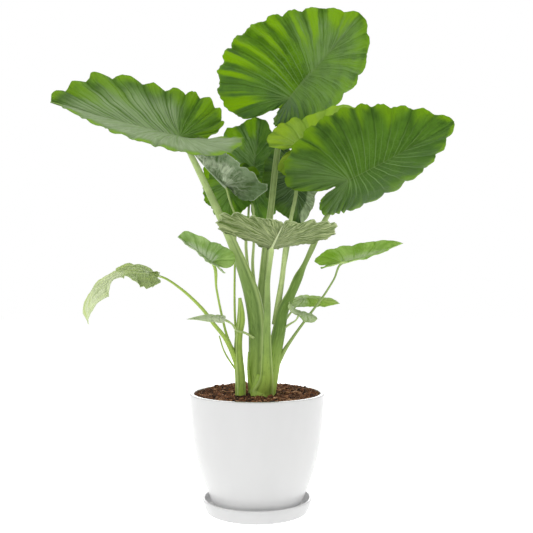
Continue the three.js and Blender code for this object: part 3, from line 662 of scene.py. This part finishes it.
# Its pale colours are partly painted light, lifting the shade of the big leaves above it
smallLeftLeaf = dict(
    at=(-80, -44, 458), heading=182, pitch=36, roll=-28, length=79,
    left=[0.12, 0.27, 0.40, 0.40, 0.38, 0.40, 0.48, 0.66, 0.94, 1],
    right=[0.12, 0.22, 0.38, 0.53, 0.52, 0.49, 0.51, 0.66, 0.94, 1],
    fold=(-18, -33), curl=(-7, -11), tip=-1, lobe=19, waves=6, ripple=2, sway=2, rib=1.6, seed=23,
    frill=0.8,
    look=dict(
        deep=(146, 184, 92), mid=(194, 222, 138), under=(232, 240, 208), underDeep=(196, 216, 156),
        underVein=(236, 242, 220), paintedSheen=(246, 250, 236), paintedSheens=(0.4, 1.0), paintedSheenFrom=(-0.2, 0.42),
        paintedSheenReach=(0.5, 0.14), paintedSheenGrain=0.3, paintedMarginBands=(1.0, 0.0), paintedMarginBandStart=0.5, paintedLitStripes=(0.1, 0.3)),
)
droopingLeaf = dict(
    at=(-193, -60, 439), heading=194, pitch=16, roll=7, length=167,
    left=[0.06, 0.09, 0.12, 0.19, 0.35, 0.44, 0.46, 0.44, 0.75, 1],
    right=[0.06, 0.09, 0.12, 0.18, 0.30, 0.42, 0.46, 0.46, 0.74, 1],
    fold=(28, -17), curl=(16, 2), tip=115, lobe=36, waist=0.5, waves=7, calm=2, lobed=0.4, rib=1.8,
    seed=25, crumple=1.1, slot="pale_green",
    look=dict(
        deep=(138, 164, 84), mid=(182, 202, 134), paintedLitStripe=(186, 206, 96), paintedSheen=(224, 232, 202),
        paintedSheens=1.0, paintedSheenFrom=0.72, paintedSheenReach=1.0, paintedSheenGrain=0.1, under=(250, 252, 244),
        underDeep=(236, 242, 214), underVein=(250, 252, 246), vein=(216, 226, 190), edge=(170, 192, 104),
        paintedLitStripes=0.1, fibres=0.5, shades=0.4, shadeTo=0.64, shade=(120, 142, 86),
        underShade=(146, 166, 104), grooveAndPaintedShades=0.5, veins=0.3, underVeins=0.4, nets=0.0, relief=0.25,
        glow=0.45, glowColour=(236, 242, 210)),
)
lowRightLeaf = dict(
    at=(88, 42, 390), heading=-5, pitch=6, roll=22, length=72, left=narrowHeart, right=narrowHeart,
    tip=30, waves=5, ripple=1.5, sway=1, rib=1.3, seed=27, frill=0.5,
    look=dict(
        deep=(160, 194, 84), mid=(200, 222, 124), under=(200, 220, 130), underDeep=(164, 192, 88),
        paintedSheens=0.9, paintedSheenTo=0.55, paintedSheenReach=1.0, paintedSheen=(236, 242, 218), paintedMarginBands=(0.5, 0.0), paintedLitStripes=0.3),
)
curledLeaf = dict(
    at=(81, -18, 365), heading=0, pitch=-14, roll=50, length=38,
    left=[0.95, 0.88, 0.45, 0.26, 0.22, 0.24, 0.36, 0.52, 0.72, 0.86],
    right=[0.95, 0.88, 0.42, 0.22, 0.20, 0.26, 0.46, 0.62, 0.78, 0.86],
    fold=(20, 20), curl=(40, 40), lobe=-40, waves=4, ripple=1, sway=0, rib=1.2, seed=29, frill=0.5,
    crumple=0.3, slot="pale_green",
    look=dict(
        deep=(150, 174, 108), mid=(196, 212, 162), under=(204, 216, 172), underDeep=(160, 182, 120),
        paintedSheen=(226, 232, 208), paintedSheens=0.5, edge=(214, 222, 190), paintedLitStripes=0.2),
)
witheredLeaf = dict(
    at=(-63, -50, 357), heading=185, pitch=6, roll=-48, length=65, left=strap, right=strap,
    fold=(14, 14), curl=(25, 25), tip=24, lobe=10, waves=4, ripple=1, sway=0, rib=1.2, seed=31,
    frill=0.4, crumple=0.3, slot="pale_green",
    look=dict(
        deep=(206, 220, 172), mid=(236, 242, 214), under=(238, 244, 220), underDeep=(212, 224, 184),
        paintedSheen=(244, 247, 234), paintedSheens=0.5, edge=(240, 244, 226), paintedLitStripes=0.0, fibres=0.3,
        shade=(170, 186, 136)),
)
leaves = {
    node: buildLeaf(name, node, settings) for name, node, settings in (
        ("topBlade", "leaf_top", topLeaf), ("rightBlade", "leaf_right", rightLeaf),
        ("leftBlade", "leaf_left", leftLeaf), ("backBlade", "leaf_back", backLeaf),
        ("foldedBlade", "leaf_folded", foldedLeaf), ("limeBlade", "leaf_lime", limeLeaf),
        ("shadeBlade", "leaf_shade", shadeLeaf), ("frontBlade", "leaf_front", frontLeaf),
        ("lowLeftBlade", "leaf_low_left", lowLeftLeaf),
        ("smallRightBlade", "leaf_small_right", smallRightLeaf),
        ("smallLeftBlade", "leaf_small_left", smallLeftLeaf),
        ("droopingBlade", "leaf_drooping", droopingLeaf),
        ("lowRightBlade", "leaf_low_right", lowRightLeaf),
        ("curledBlade", "leaf_curled", curledLeaf), ("witheredBlade", "leaf_withered", witheredLeaf),
    )
}


# Stalks: streaked green skin, yellower near the soil. A sheath has pale margins, painted shade in
# the crease beside each of them, and a yellower channel between them.
def stalkMaterial(name, look):
    material, shader, look, place = startMaterial(name, look)
    edge, creaseAndPaintedShade, channel, pale = (
        attribute(shader, key)["Fac"] for key in ("edge", "creaseAndPaintedShade", "channel", "pale"))
    mottle, raisedNet = joinNode("ShaderNodeGroup", {"Place": place}, node_tree=plantSkin).outputs
    streak = noise(scaled(attribute(shader, "grain")["Vector"], (34.0, 5.0, 1.0)), 1.0, 3.0)
    height = splitVector(place)["Z"]
    yellowed = smoothRamp(height, look["greenAbove"], look["yellowBelow"])
    body = layered(
        look, yellowed, "upper", "base",
        (smoothRamp(height, *look["paleTop"], 0.0, 0.6), "pale"), (pale, "pale"),
        (times(channel, 0.7), "channel"), (smoothRamp(streak, 0.5, 0.72, 0.0, 0.6), "streak"),
        (smoothRamp(streak, 0.46, 0.28, 0.0, 0.6), "shade"),
        # The crease beside each sheath margin takes the shade colour as painted shade
        (smoothRamp(mottle, 0.5, 0.75, 0.0, 0.3), "shade"), (creaseAndPaintedShade, "shade"), (edge, "margin"))
    feedAll(shader, {
        "Base Color": body, "Specular IOR Level": 0.25,
        "Roughness": smoothRamp(streak, 0.2, 0.8, 0.36, 0.52),
    })
    addBump(shader, plus(streak, times(raisedNet, 0.1)), 0.5, 0.0008)
    return material


stalkLook = dict(
    upper=(98, 128, 50), base=(164, 194, 84), streak=(140, 168, 84), shade=(72, 100, 36),
    margin=(190, 208, 138), pale=(198, 216, 148), channel=(158, 186, 76),
    greenAbove=0.34, yellowBelow=0.23, paleTop=(0.42, 0.52),
)
roundSides = 48
stalkSides = 22
thinSides = 14
stalkStepsEach = 6


def lengthsAlong(path):
    gaps = np.linalg.norm(np.diff(path[:, :3], axis=0), axis=1)
    return np.concatenate([[0], np.cumsum(gaps)])


def smoothStations(stations, stepsEach):
    stations = np.asarray(stations, dtype=float)
    knots = lengthsAlong(stations)
    slopes = np.gradient(stations, knots, axis=0)
    path = []
    for i, step in np.ndindex(len(stations) - 1, stepsEach):
        f = step / stepsEach
        span = knots[i + 1] - knots[i]
        leaving = (f ** 3 - 2 * f ** 2 + f) * span * slopes[i]
        arriving = (f ** 3 - f ** 2) * span * slopes[i + 1]
        path.append((2 * f ** 3 - 3 * f ** 2 + 1) * stations[i] + leaving
                    + (3 * f ** 2 - 2 * f ** 3) * stations[i + 1] + arriving)
    path.append(stations[-1])
    return np.array(path)


def turnFrom(angles, facing):
    return (angles - radians(facing) + pi) % (2 * pi) - pi


# A sheath is an open channel facing `facing` degrees (0 is the front, 90 the right), with a raised
# margin on both sides of it, up to the share `top` of the stalk's length. `tone` is how yellow it is.
noSheath = dict(facing=0, spread=0, lift=0, top=-1, tone=0)
sheathEnds = 0.12        # the share of the stalk's length in which a sheath dies away
marginSpan = 0.15        # radians, as are the next three
creaseAndPaintedShadeAt = 0.33
creaseAndPaintedShadeSpan = 0.14
channelSpan = 0.2


def sheathStrength(sheath, share):
    return np.clip((sheath["top"] - share) / sheathEnds, 0, 1)


def sheathSection(sheath):
    def section(share, angles):
        strength = sheathStrength(sheath, share)
        reach = 1 - 0.10 * strength * np.exp(-(turnFrom(angles, sheath["facing"]) / 0.5) ** 2)
        for turn in (-sheath["spread"], sheath["spread"]):
            off = turnFrom(angles, sheath["facing"] + turn)
            reach = reach + strength * sheath["lift"] * np.exp(-(off / 0.22) ** 2)
        return reach
    return section


def buildShoot(name, node, foot, stalks, look):
    points, faces, grain = [], [], []
    marks = {"edge": [], "creaseAndPaintedShade": [], "channel": [], "pale": []}

    # `pale` is how pale the stalk is, or how pale at its foot and at its blade
    def addTube(path, sides, section, sheath=noSheath, pale=0.0):
        first = sum(len(group) for group in points)
        lengths = lengthsAlong(path) / 100
        points.append(tubeRings(path[:, :3], path[:, 3], sides, section=section).reshape(-1, 3))
        faces.extend(ringFaces(len(path), sides, first))
        for i, k in np.ndindex(len(path) - 1, sides):
            ring = ((k, i), (k + 1, i), (k + 1, i + 1), (k, i + 1))
            grain.extend((turn / sides, lengths[step], first) for turn, step in ring)
        grain.extend([(0, 0, first)] * (2 * sides))
        shares = np.linspace(0, 1, len(path))[:, None]
        strength = 0.5 * sheathStrength(sheath, shares)
        angles = 2 * pi * np.arange(sides) / sides
        inward = radians(sheath["spread"]) - np.abs(turnFrom(angles, sheath["facing"]))
        low, high = np.broadcast_to(pale, 2)
        values = {
            "edge": strength * np.exp(-(inward / marginSpan) ** 2),
            # painted shade in the crease beside each margin
            "creaseAndPaintedShade": strength * np.exp(-((np.abs(inward) - creaseAndPaintedShadeAt) / creaseAndPaintedShadeSpan) ** 2),
            "channel": 2 * sheath["tone"] * strength * np.clip(inward / channelSpan, 0, 1),
            "pale": np.repeat(low + (high - low) * shares ** 2, sides),
        }
        for key in marks:
            marks[key].extend(values[key].ravel())

    footPath = smoothStations(foot["stations"], 8)
    lobes = foot["lobes"]
    addTube(footPath, roundSides, lambda share, angles: 1 + lobes * np.cos(3 * angles + 0.6) * share)
    for key, stalk in stalks.items():
        stations = [list(station) for station in reversed(stalk["stations"])]
        if key in leaves:
            leaf = leaves[key]
            radius = stalk["stations"][0][3]
            under, inside = bendLeaf(
                leaf, 0, np.array([0, 0.05 * leaf["length"]]), np.zeros(2),
                np.array([-1.05 * radius, -0.9 * leaf["rib"]]) * leaf["wedge"])
            stations += [[*under, radius], [*inside, 0.8 * leaf["rib"]]]
        path = smoothStations(stations, stalkStepsEach)
        sheath = stalk.get("sheath", noSheath)
        sides = stalkSides if max(station[3] for station in stations) > 4 else thinSides
        addTube(path, roundSides if "sheath" in stalk else sides, sheathSection(sheath), sheath,
                stalk.get("pale", 0.0))
    piece = addPiece(name, np.vstack(points), faces, stalkMaterial(name + "Skin", look),
                     {"grain": grain}, marks)
    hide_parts(node)
    print("shoot", name, len(faces), "faces")


mainFoot = dict(
    stations=[(8, 0, 171, 25), (8, 0, 200, 25.5), (8, 0, 217, 25.2), (8, 0, 232, 22), (8, 0, 252, 17)],
    lobes=0.05,
)
mainStalks = dict(
    # Its paleness toward the blade is partly a painted highlight
    leaf_left=dict(
        stations=[(-130, -36, 671, 4.5), (-118, -32, 649, 5.5), (-91, -24, 593, 6.5), (-68, -18, 544, 7.5),
                  (-43, -12, 489, 10), (-21, -6, 435, 13), (-8, -2, 394, 16), (-1, 0, 351, 16.5),
                  (-1, 0, 296, 15), (-2, 0, 238, 16), (2, 0, 212, 17)],
        sheath=dict(facing=84, spread=50, lift=0.14, top=0.62, tone=1.0), pale=(0.04, 0.45)),
    leaf_top=dict(
        stations=[(50, 83, 740, 5), (40, 82, 686, 6), (34, 75, 639, 6.5), (26, 64, 565, 6.5),
                  (16, 51, 490, 7), (10, 39, 430, 7.5), (5, 26, 369, 9), (5, 16, 294, 11),
                  (7, 10, 212, 14)],
        sheath=dict(facing=0, spread=52, lift=0.1, top=1.1, tone=0.0), pale=0.35),
    leaf_front=dict(
        stations=[(24, -88, 458, 4), (20, -80, 430, 4.5), (19, -62, 372, 6), (18, -50, 329, 7),
                  (18, -38, 283, 9), (17, -24, 243, 12.5), (11, -8, 219, 19), (9, -3, 200, 20)],
        sheath=dict(facing=0, spread=64, lift=0.2, top=0.55, tone=0.2), pale=(0.0, 0.6)),
    leaf_right=dict(
        stations=[(156, 8, 589, 4.5), (145, 31, 569, 4.5), (126, 28, 535, 5), (105, 13, 490, 5.5),
                  (84, 4, 446, 6), (79, 4, 436, 8), (63, 4, 400, 9), (49, 6, 372, 11), (40, 6, 329, 13),
                  (33, 5, 295, 14), (25, 3, 249, 15), (18, 0, 212, 16)],
        sheath=dict(facing=-104, spread=48, lift=0.1, top=0.62, tone=0.4)),
    leaf_lime=dict(
        stations=[(78, 47, 655, 3.5), (75, 45, 598, 3.5), (61, 26, 530, 4), (54, 13, 492, 4.5),
                  (47, 12, 430, 5), (39, 11, 379, 6), (33, 9, 342, 6)],
        pale=0.9),
    leaf_back=dict(
        stations=[(-18, 116, 578, 2.5), (-19, 104, 551, 2.5), (-23, 76, 498, 3), (-20, 54, 461, 3),
                  (-8, 14, 388, 4), (-4, 4, 372, 4)],
        pale=0.5),
    leaf_low_left=dict(
        stations=[(-36, 74, 600, 2.2), (-10, 58, 571, 2.2), (-7, 44, 543, 2.2), (-7, 34, 495, 2.5),
                  (-9, 26, 460, 3), (-2, 8, 388, 4)],
        pale=0.5),
    leaf_shade=dict(
        stations=[(78, 146, 622, 3), (76, 138, 586, 3), (62, 92, 504, 3.5), (50, 45, 445, 4),
                  (38, 15, 379, 5)]),
    leaf_small_right=dict(
        stations=[(143, -8, 428, 1.8), (126, -4, 400, 2), (93, 2, 355, 2.4), (67, 4, 319, 3),
                  (50, 4, 293, 4), (33, 2, 256, 5)],
        pale=0.3),
    # These thin low stalks are drawn pale partly as painted light that lifts the shade they lie in
    leaf_low_right=dict(stations=[(75, 36, 377, 1.8), (62, 26, 362, 2), (47, 12, 341, 2.5)], pale=0.7),
    leaf_curled=dict(stations=[(72, -14, 352, 1.5), (61, -2, 344, 2), (46, 3, 333, 2.5)], pale=0.7),
    leaf_withered=dict(stations=[(-45, -42, 346, 1.8), (-38, -34, 335, 2), (-22, -24, 329, 2.2),
                                 (-6, -14, 319, 2.5)], pale=0.7),
    oldSheath=dict(stations=[(-15, -20, 294, 1.5), (-16, -18, 270, 2.5), (-14, -15, 243, 3.2),
                             (-8, -8, 222, 4)]),
)
sideFoot = dict(
    stations=[(-31, -12, 171, 9.3), (-31, -12, 200, 9.5), (-31, -12, 222, 9.5), (-31, -12, 242, 8)],
    lobes=0.04,
)
sideStalks = dict(
    tallSheath=dict(
        stations=[(-32, -10, 393, 3), (-30, -10, 370, 6), (-30, -10, 352, 7.5), (-34, -11, 324, 7),
                  (-35, -12, 289, 8), (-33, -12, 265, 9), (-31, -12, 236, 9.5), (-31, -12, 212, 9.5)],
        sheath=dict(facing=20, spread=46, lift=0.14, top=0.95, tone=1.0), pale=0.2),
    leaf_folded=dict(
        stations=[(-54, 14, 583, 2), (-50, 12, 570, 2), (-42, 10, 548, 2), (-41, 8, 500, 2),
                  (-42, 2, 447, 2), (-41, -8, 352, 2.2), (-37, -12, 297, 2.5)]),
    leaf_small_left=dict(
        stations=[(-74, -34, 411, 2), (-65, -24, 363, 2.2), (-54, -15, 319, 2.5), (-38, -12, 285, 3)]),
    leaf_drooping=dict(
        stations=[(-167, -54, 430, 2), (-141, -48, 413, 2.4), (-118, -42, 393, 2.8), (-95, -34, 368, 3.2),
                  (-80, -30, 347, 3.5), (-59, -24, 320, 4), (-48, -20, 299, 4.5), (-37, -14, 267, 5),
                  (-31, -12, 232, 6)]),
    spent=dict(stations=[(-70, -14, 323, 1.2), (-61, -14, 295, 1.4), (-38, -12, 258, 2)]),
)
buildShoot("mainStalks", "main_shoot", mainFoot, mainStalks, stalkLook)
buildShoot("sideStalks", "side_shoot", sideFoot, sideStalks,
           {**stalkLook, "upper": (160, 186, 84), "base": (168, 200, 78)})

# Planter and saucer: white glaze over a turned body
# The well colour is painted light, a whiter glaze low in the saucer that lifts the shade there
glaze = dict(colour=(208, 208, 208), shade=(205, 205, 205), paintedWellLight=(240, 240, 240))
planter = dict(footZ=5.3, foot=70, floor=6, wall=5, lip=7.6, lipRound=1.6, innerRound=1.4, drain=8,
               insideFoot=74, insideSpan=(24, 203), rimZ=217, soilTop=211,
               outline=[(73, 5.3), (79, 9.3), (84, 19.3), (91, 37), (102, 66), (112, 101), (119, 140),
                        (123, 180), (125, 215)])
dish = dict(base=93, rim=101, height=25, floor=5, wall=3, lip=4.3, lipRound=1.4, footRound=3)
turnSides = 128


def glazeMaterial():
    material, shader, look, place = startMaterial("whiteGlaze", glaze)
    pooled = noise(scaled(place, (14.0, 14.0, 6.0)), 1.0, 3.0)
    # Painted light: the glaze is drawn whiter low down inside the middle line of the saucer's slanting
    # wall, in the saucer and round the planter's foot, to lift the shade there
    height = splitVector(place)["Z"]
    reach = joinNode("ShaderNodeVectorMath", {0: scaled(place, (1.0, 1.0, 0.0))}, operation="LENGTH")
    middle = linear(height, 0.46, 0.0903)
    inward = smoothRamp(calc("SUBTRACT", middle, reach.outputs["Value"]), 0.0, 0.002)
    colour = layered(look, smoothRamp(pooled, 0.35, 0.7), "colour", "shade",
                     (times(inward, smoothRamp(height, 0.04, 0.02)), "paintedWellLight"))
    feedAll(shader, {
        "Base Color": colour, "Coat Weight": 0.3, "Coat Roughness": 0.12,
        "Roughness": smoothRamp(noise(place, 60.0, 2.0), 0.3, 0.7, 0.3, 0.4),
    })
    addBump(shader, noise(place, 240.0, 2.0), 0.08, 0.0005)
    return material


whiteGlaze = glazeMaterial()


def roundEdge(centre, radius, fromAngle, toAngle, steps):
    return [(centre[0] + radius * cos(radians(a)), centre[1] + radius * sin(radians(a)))
            for a in np.linspace(fromAngle, toAngle, steps)]


def turnProfile(name, profile, node):
    angles = 2 * pi * np.arange(turnSides) / turnSides
    points = [(r * cos(a), r * sin(a), z) for r, z in profile for a in angles]
    if profile[0][0] < 1:          # a dish is closed at its middle
        faces = ringFaces(len(profile), turnSides)
    else:                          # a pot's wall closes on itself round the drain hole
        faces = [tuple(corner % len(points) for corner in face)
                 for face in gridFaces(len(profile), turnSides)]
    piece = addPiece(name, points, faces, whiteGlaze)
    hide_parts(node)


def buildPlanter():
    outside = smoothStations([(r, 0, z, 0) for r, z in planter["outline"]], 5)[:, [0, 2]]
    radius, topZ, footZ = planter["outline"][-1][0], planter["rimZ"], planter["footZ"]
    lipRound, innerRound = planter["lipRound"], planter["innerRound"]
    low, high = planter["insideSpan"]
    profile = [(planter["drain"], footZ), (planter["foot"], footZ)]
    profile += [(r, z) for r, z in outside if z < topZ - lipRound - 2]
    profile += roundEdge((radius - lipRound, topZ - lipRound), lipRound, 0, 90, 8)
    profile += roundEdge((radius - planter["lip"] + innerRound, topZ - innerRound), innerRound, 90, 180, 6)
    profile += [(r - planter["wall"], z) for r, z in outside[::-1] if low < z < high]
    profile += [(r, footZ + planter["floor"]) for r in (planter["insideFoot"], planter["drain"])]
    turnProfile("planterShell", profile, "pot")


def buildDish():
    base, rim, height, floor, wall, lipRound, footRound = (
        dish[key] for key in ("base", "rim", "height", "floor", "wall", "lipRound", "footRound"))
    foot, roundZ = base - 2, height - lipRound
    profile = [(0.5, 0), (foot, 0)] + roundEdge((foot, footRound), footRound, -90, -10, 6)
    profile += [(rim - lipRound, height - 9)]
    profile += roundEdge((rim - lipRound, roundZ), lipRound, 0, 90, 6)
    profile += roundEdge((rim - dish["lip"] + lipRound, roundZ), lipRound, 90, 180, 6)
    profile += [(rim - wall - lipRound, height - 8), (base - wall + 1, floor + 1.6),
                (base - wall - 1.5, floor), (0.5, floor)]
    turnProfile("saucerDish", profile, "saucer")


buildPlanter()
buildDish()
print("planter and saucer turned")

# Soil: a crumbly bed with loose crumbs, bark bits and fibres on it
soil = dict(dark=(14, 7, 4), brown=(138, 88, 54), light=(244, 190, 142), seed=11, heap=7,
            crumbs=5200, crumbSize=(0.8, 2.4), bits=520, bitSize=(1.8, 4.4), fibres=900,
            fibreSize=(3.0, 7.0), radius=117, bank=3, rings=46, spokes=150,
            plug=[(115.5, 190), (109, 130), (98, 80), (82, 36), (73, 14)],
            clear=[(8, 0, 24), (-31, -12, 8)])     # no crumbs round the feet of the shoots


def soilMaterial():
    material, shader, look, place = startMaterial("pottingMix", soil)
    grains = noise(place, 420.0, 4.0, 0.7)
    shade = plus(times(attribute(shader, "tone")["Fac"], 0.75), times(grains, 0.35))
    colour = layered(look, smoothRamp(shade, 0.1, 0.75), "dark", "brown",
                     (times(smoothRamp(shade, 0.75, 1.0), noise(place, 60.0, 3.0)), "light"))
    feedAll(shader, {"Base Color": colour, "Roughness": smoothRamp(grains, 0.2, 0.8, 0.8, 1.0)})
    addBump(shader, grains, 0.8, 0.001)
    return material


def soilHeight(x, y):
    lumps = np.sin(x * 0.11 + 1) * np.sin(y * 0.13) + 0.6 * np.sin(x * 0.23 + y * 0.19)
    back = y / planter["outline"][-1][0]
    edge = (x * x + y * y) / soil["radius"] ** 2
    heap = soil["heap"] * max(0, back) ** 1.5 + soil["bank"] * edge ** 2 * (1 - max(0, back))
    return planter["soilTop"] + 2.1 * lumps * (1 - 0.6 * edge) + 2 * back + heap


def crumbShape(rings, sides):
    shape = [(0, 0, 1)]
    for i in range(1, rings):
        polar = pi * i / rings
        for k in range(sides):
            turn = 2 * pi * (k + 0.5 * (i % 2)) / sides
            reach = sin(polar)
            shape.append((reach * cos(turn), reach * sin(turn), cos(polar)))
    shape.append((0, 0, -1))
    last = len(shape) - 1
    faces = [(a, d, c, b) for a, b, c, d in gridFaces(rings - 2, sides, 1)]
    for k in range(sides):
        after = (k + 1) % sides
        faces += [(0, 1 + k, 1 + after), (last, last - sides + after, last - sides + k)]
    return np.array(shape), faces


def buildSoil():
    draw = random.Random(soil["seed"])
    radius, rings, spokes, plug = (soil[key] for key in ("radius", "rings", "spokes", "plug"))
    angles = [2 * pi * k / spokes for k in range(spokes)]
    points, tones = [], []
    for ring in range(1, rings + 1):
        reach = radius * ring / rings
        for angle in angles:
            x, y = reach * cos(angle), reach * sin(angle)
            bump = draw.uniform(-0.9, 0.9) + 0.7 * sin(0.9 * x + 0.4 * y) * sin(0.7 * y - 0.5 * x)
            points.append((x, y, float(soilHeight(x, y)) + bump * (1 if ring < rings else 0.3)))
            tones.append(draw.uniform(0.0, 0.75))
    # The plug under the bed, down inside the planter
    for reach, z in plug:
        points += [(reach * cos(angle), reach * sin(angle), z) for angle in angles]
        tones += [0.2] * spokes
    faces = [(a, d, c, b) for a, b, c, d in gridFaces(rings - 1 + len(plug), spokes)]
    faces += [tuple(range(spokes)), tuple(range(len(points) - 1, len(points) - 1 - spokes, -1))]

    def scatter(count, sizes, shape, flat, long=(0.7, 1.7), wide=(0.6, 1.1), rough=0.32):
        form, formFaces = shape
        for _ in range(count):
            reach = (radius - 3) * sqrt(draw.random())
            angle = draw.uniform(0, 2 * pi)
            x, y = reach * cos(angle), reach * sin(angle)
            if any(hypot(x - footX, y - footY) < gap for footX, footY, gap in soil["clear"]):
                continue
            size = draw.uniform(*sizes) * draw.uniform(0.6, 1.0)
            stretch = np.array([draw.uniform(*long), draw.uniform(*wide), draw.uniform(*flat)])
            turn, lean = draw.uniform(0, 2 * pi), draw.uniform(-0.6, 0.6)
            dents = np.array([draw.uniform(-rough, rough) for _ in form])
            c, s = cos(lean), sin(lean)
            leaning = np.array([[c, 0, -s], [0, 1, 0], [s, 0, c]])
            c, s = cos(turn), sin(turn)
            turning = np.array([[c, s, 0], [-s, c, 0], [0, 0, 1]])
            local = form * (1 + dents)[:, None] * size * stretch @ leaning @ turning
            first = len(points)
            z = float(soilHeight(x, y)) + size * draw.uniform(0.2, 0.7)
            points.extend((local + (x, y, z)).tolist())
            tone = draw.uniform(0.0, 1.12) ** 1.3
            tones.extend([tone] * len(form))
            faces.extend(tuple(first + corner for corner in face) for face in formFaces)

    scatter(soil["crumbs"], soil["crumbSize"], crumbShape(3, 5), (0.5, 1.0))
    scatter(soil["bits"], soil["bitSize"], crumbShape(4, 6), (0.25, 0.7))
    scatter(soil["fibres"], soil["fibreSize"], crumbShape(3, 3), (0.04, 0.07), (0.6, 1.0), (0.05, 0.09),
            0.1)
    piece = addPiece("soilBed", points, faces, soilMaterial(), pointValues={"tone": tones})
    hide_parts("soil")
    print("soil", len(faces), "faces")


buildSoil()


# Studio: pale floor, soft lights and the camera
studio = dict(cameraPlace=(17.4, -1457, 425.8), tilt=1.0, lens=52.68, floorSize=14.0, daylight=0.45)
floorLook = dict(dim=(240, 240, 240), bright=(246, 246, 246), glow=0.62)
white = (1, 1, 1, 1)
# Name, place, size and power
softLights = [
    ("leftBox", (-2.1, -1.1, 1.15), 1.6, 17),
    ("rightBox", (2.1, -1.0, 0.95), 1.6, 11),
    ("frontBox", (0.2, -2.5, 0.3), 1.4, 7),
    ("topBox", (0.1, 0.4, 2.9), 2.0, 24),
    ("backBox", (0.2, 2.4, 1.2), 2.2, 30),
]


def buildStudio():
    scene = bpy.context.scene
    camera = addObject("camera", bpy.data.cameras.new("camera"))
    camera.location = [value * mm for value in studio["cameraPlace"]]
    camera.rotation_euler = (radians(90 + studio["tilt"]), 0, 0)
    camera.data.sensor_width = 36
    camera.data.lens = studio["lens"]
    scene.camera = camera

    half = studio["floorSize"] / 2
    mesh = bpy.data.meshes.new("floor")
    corners = [(-half, -half, 0), (half, -half, 0), (half, half, 0), (-half, half, 0)]
    mesh.from_pydata(corners, [], [(0, 1, 2, 3)])
    material, shader, look, place = startMaterial("paleFloor", floorLook)
    feedAll(shader, {
        "Base Color": layered(look, noise(place, 2.0), "dim", "bright"), "Roughness": 0.9,
        "Emission Color": white, "Emission Strength": look["glow"],
    })
    mesh.materials.append(material)
    floor = addObject("floor", mesh)

    target = Vector((0, 0, 0.5))
    for name, place, size, power in softLights:
        lamp = bpy.data.lights.new(name, "AREA")
        lamp.shape, lamp.size, lamp.energy = "DISK", size, power
        box = addObject(name, lamp)
        box.location = place
        box.rotation_euler = (target - box.location).to_track_quat("-Z", "Y").to_euler()
        box.visible_camera = False

    # The backdrop shows white while it lights the plant more softly
    world = bpy.data.worlds.new("studio")
    world.use_nodes = True
    tree = world.node_tree
    back = tree.nodes["Background"]
    feedAll(back, {"Color": white, "Strength": studio["daylight"]})
    shown = addNode(tree, "ShaderNodeBackground", {"Color": white, "Strength": 1.0})
    seen = addNode(tree, "ShaderNodeLightPath").outputs["Is Camera Ray"]
    both = joinNode("ShaderNodeMixShader", {0: seen, 1: back.outputs[0], 2: shown.outputs[0]})
    feed(tree.nodes["World Output"].inputs["Surface"], both.outputs[0])
    scene.world = world
    scene.view_settings.view_transform = "Standard"


buildStudio()
print("studio set")
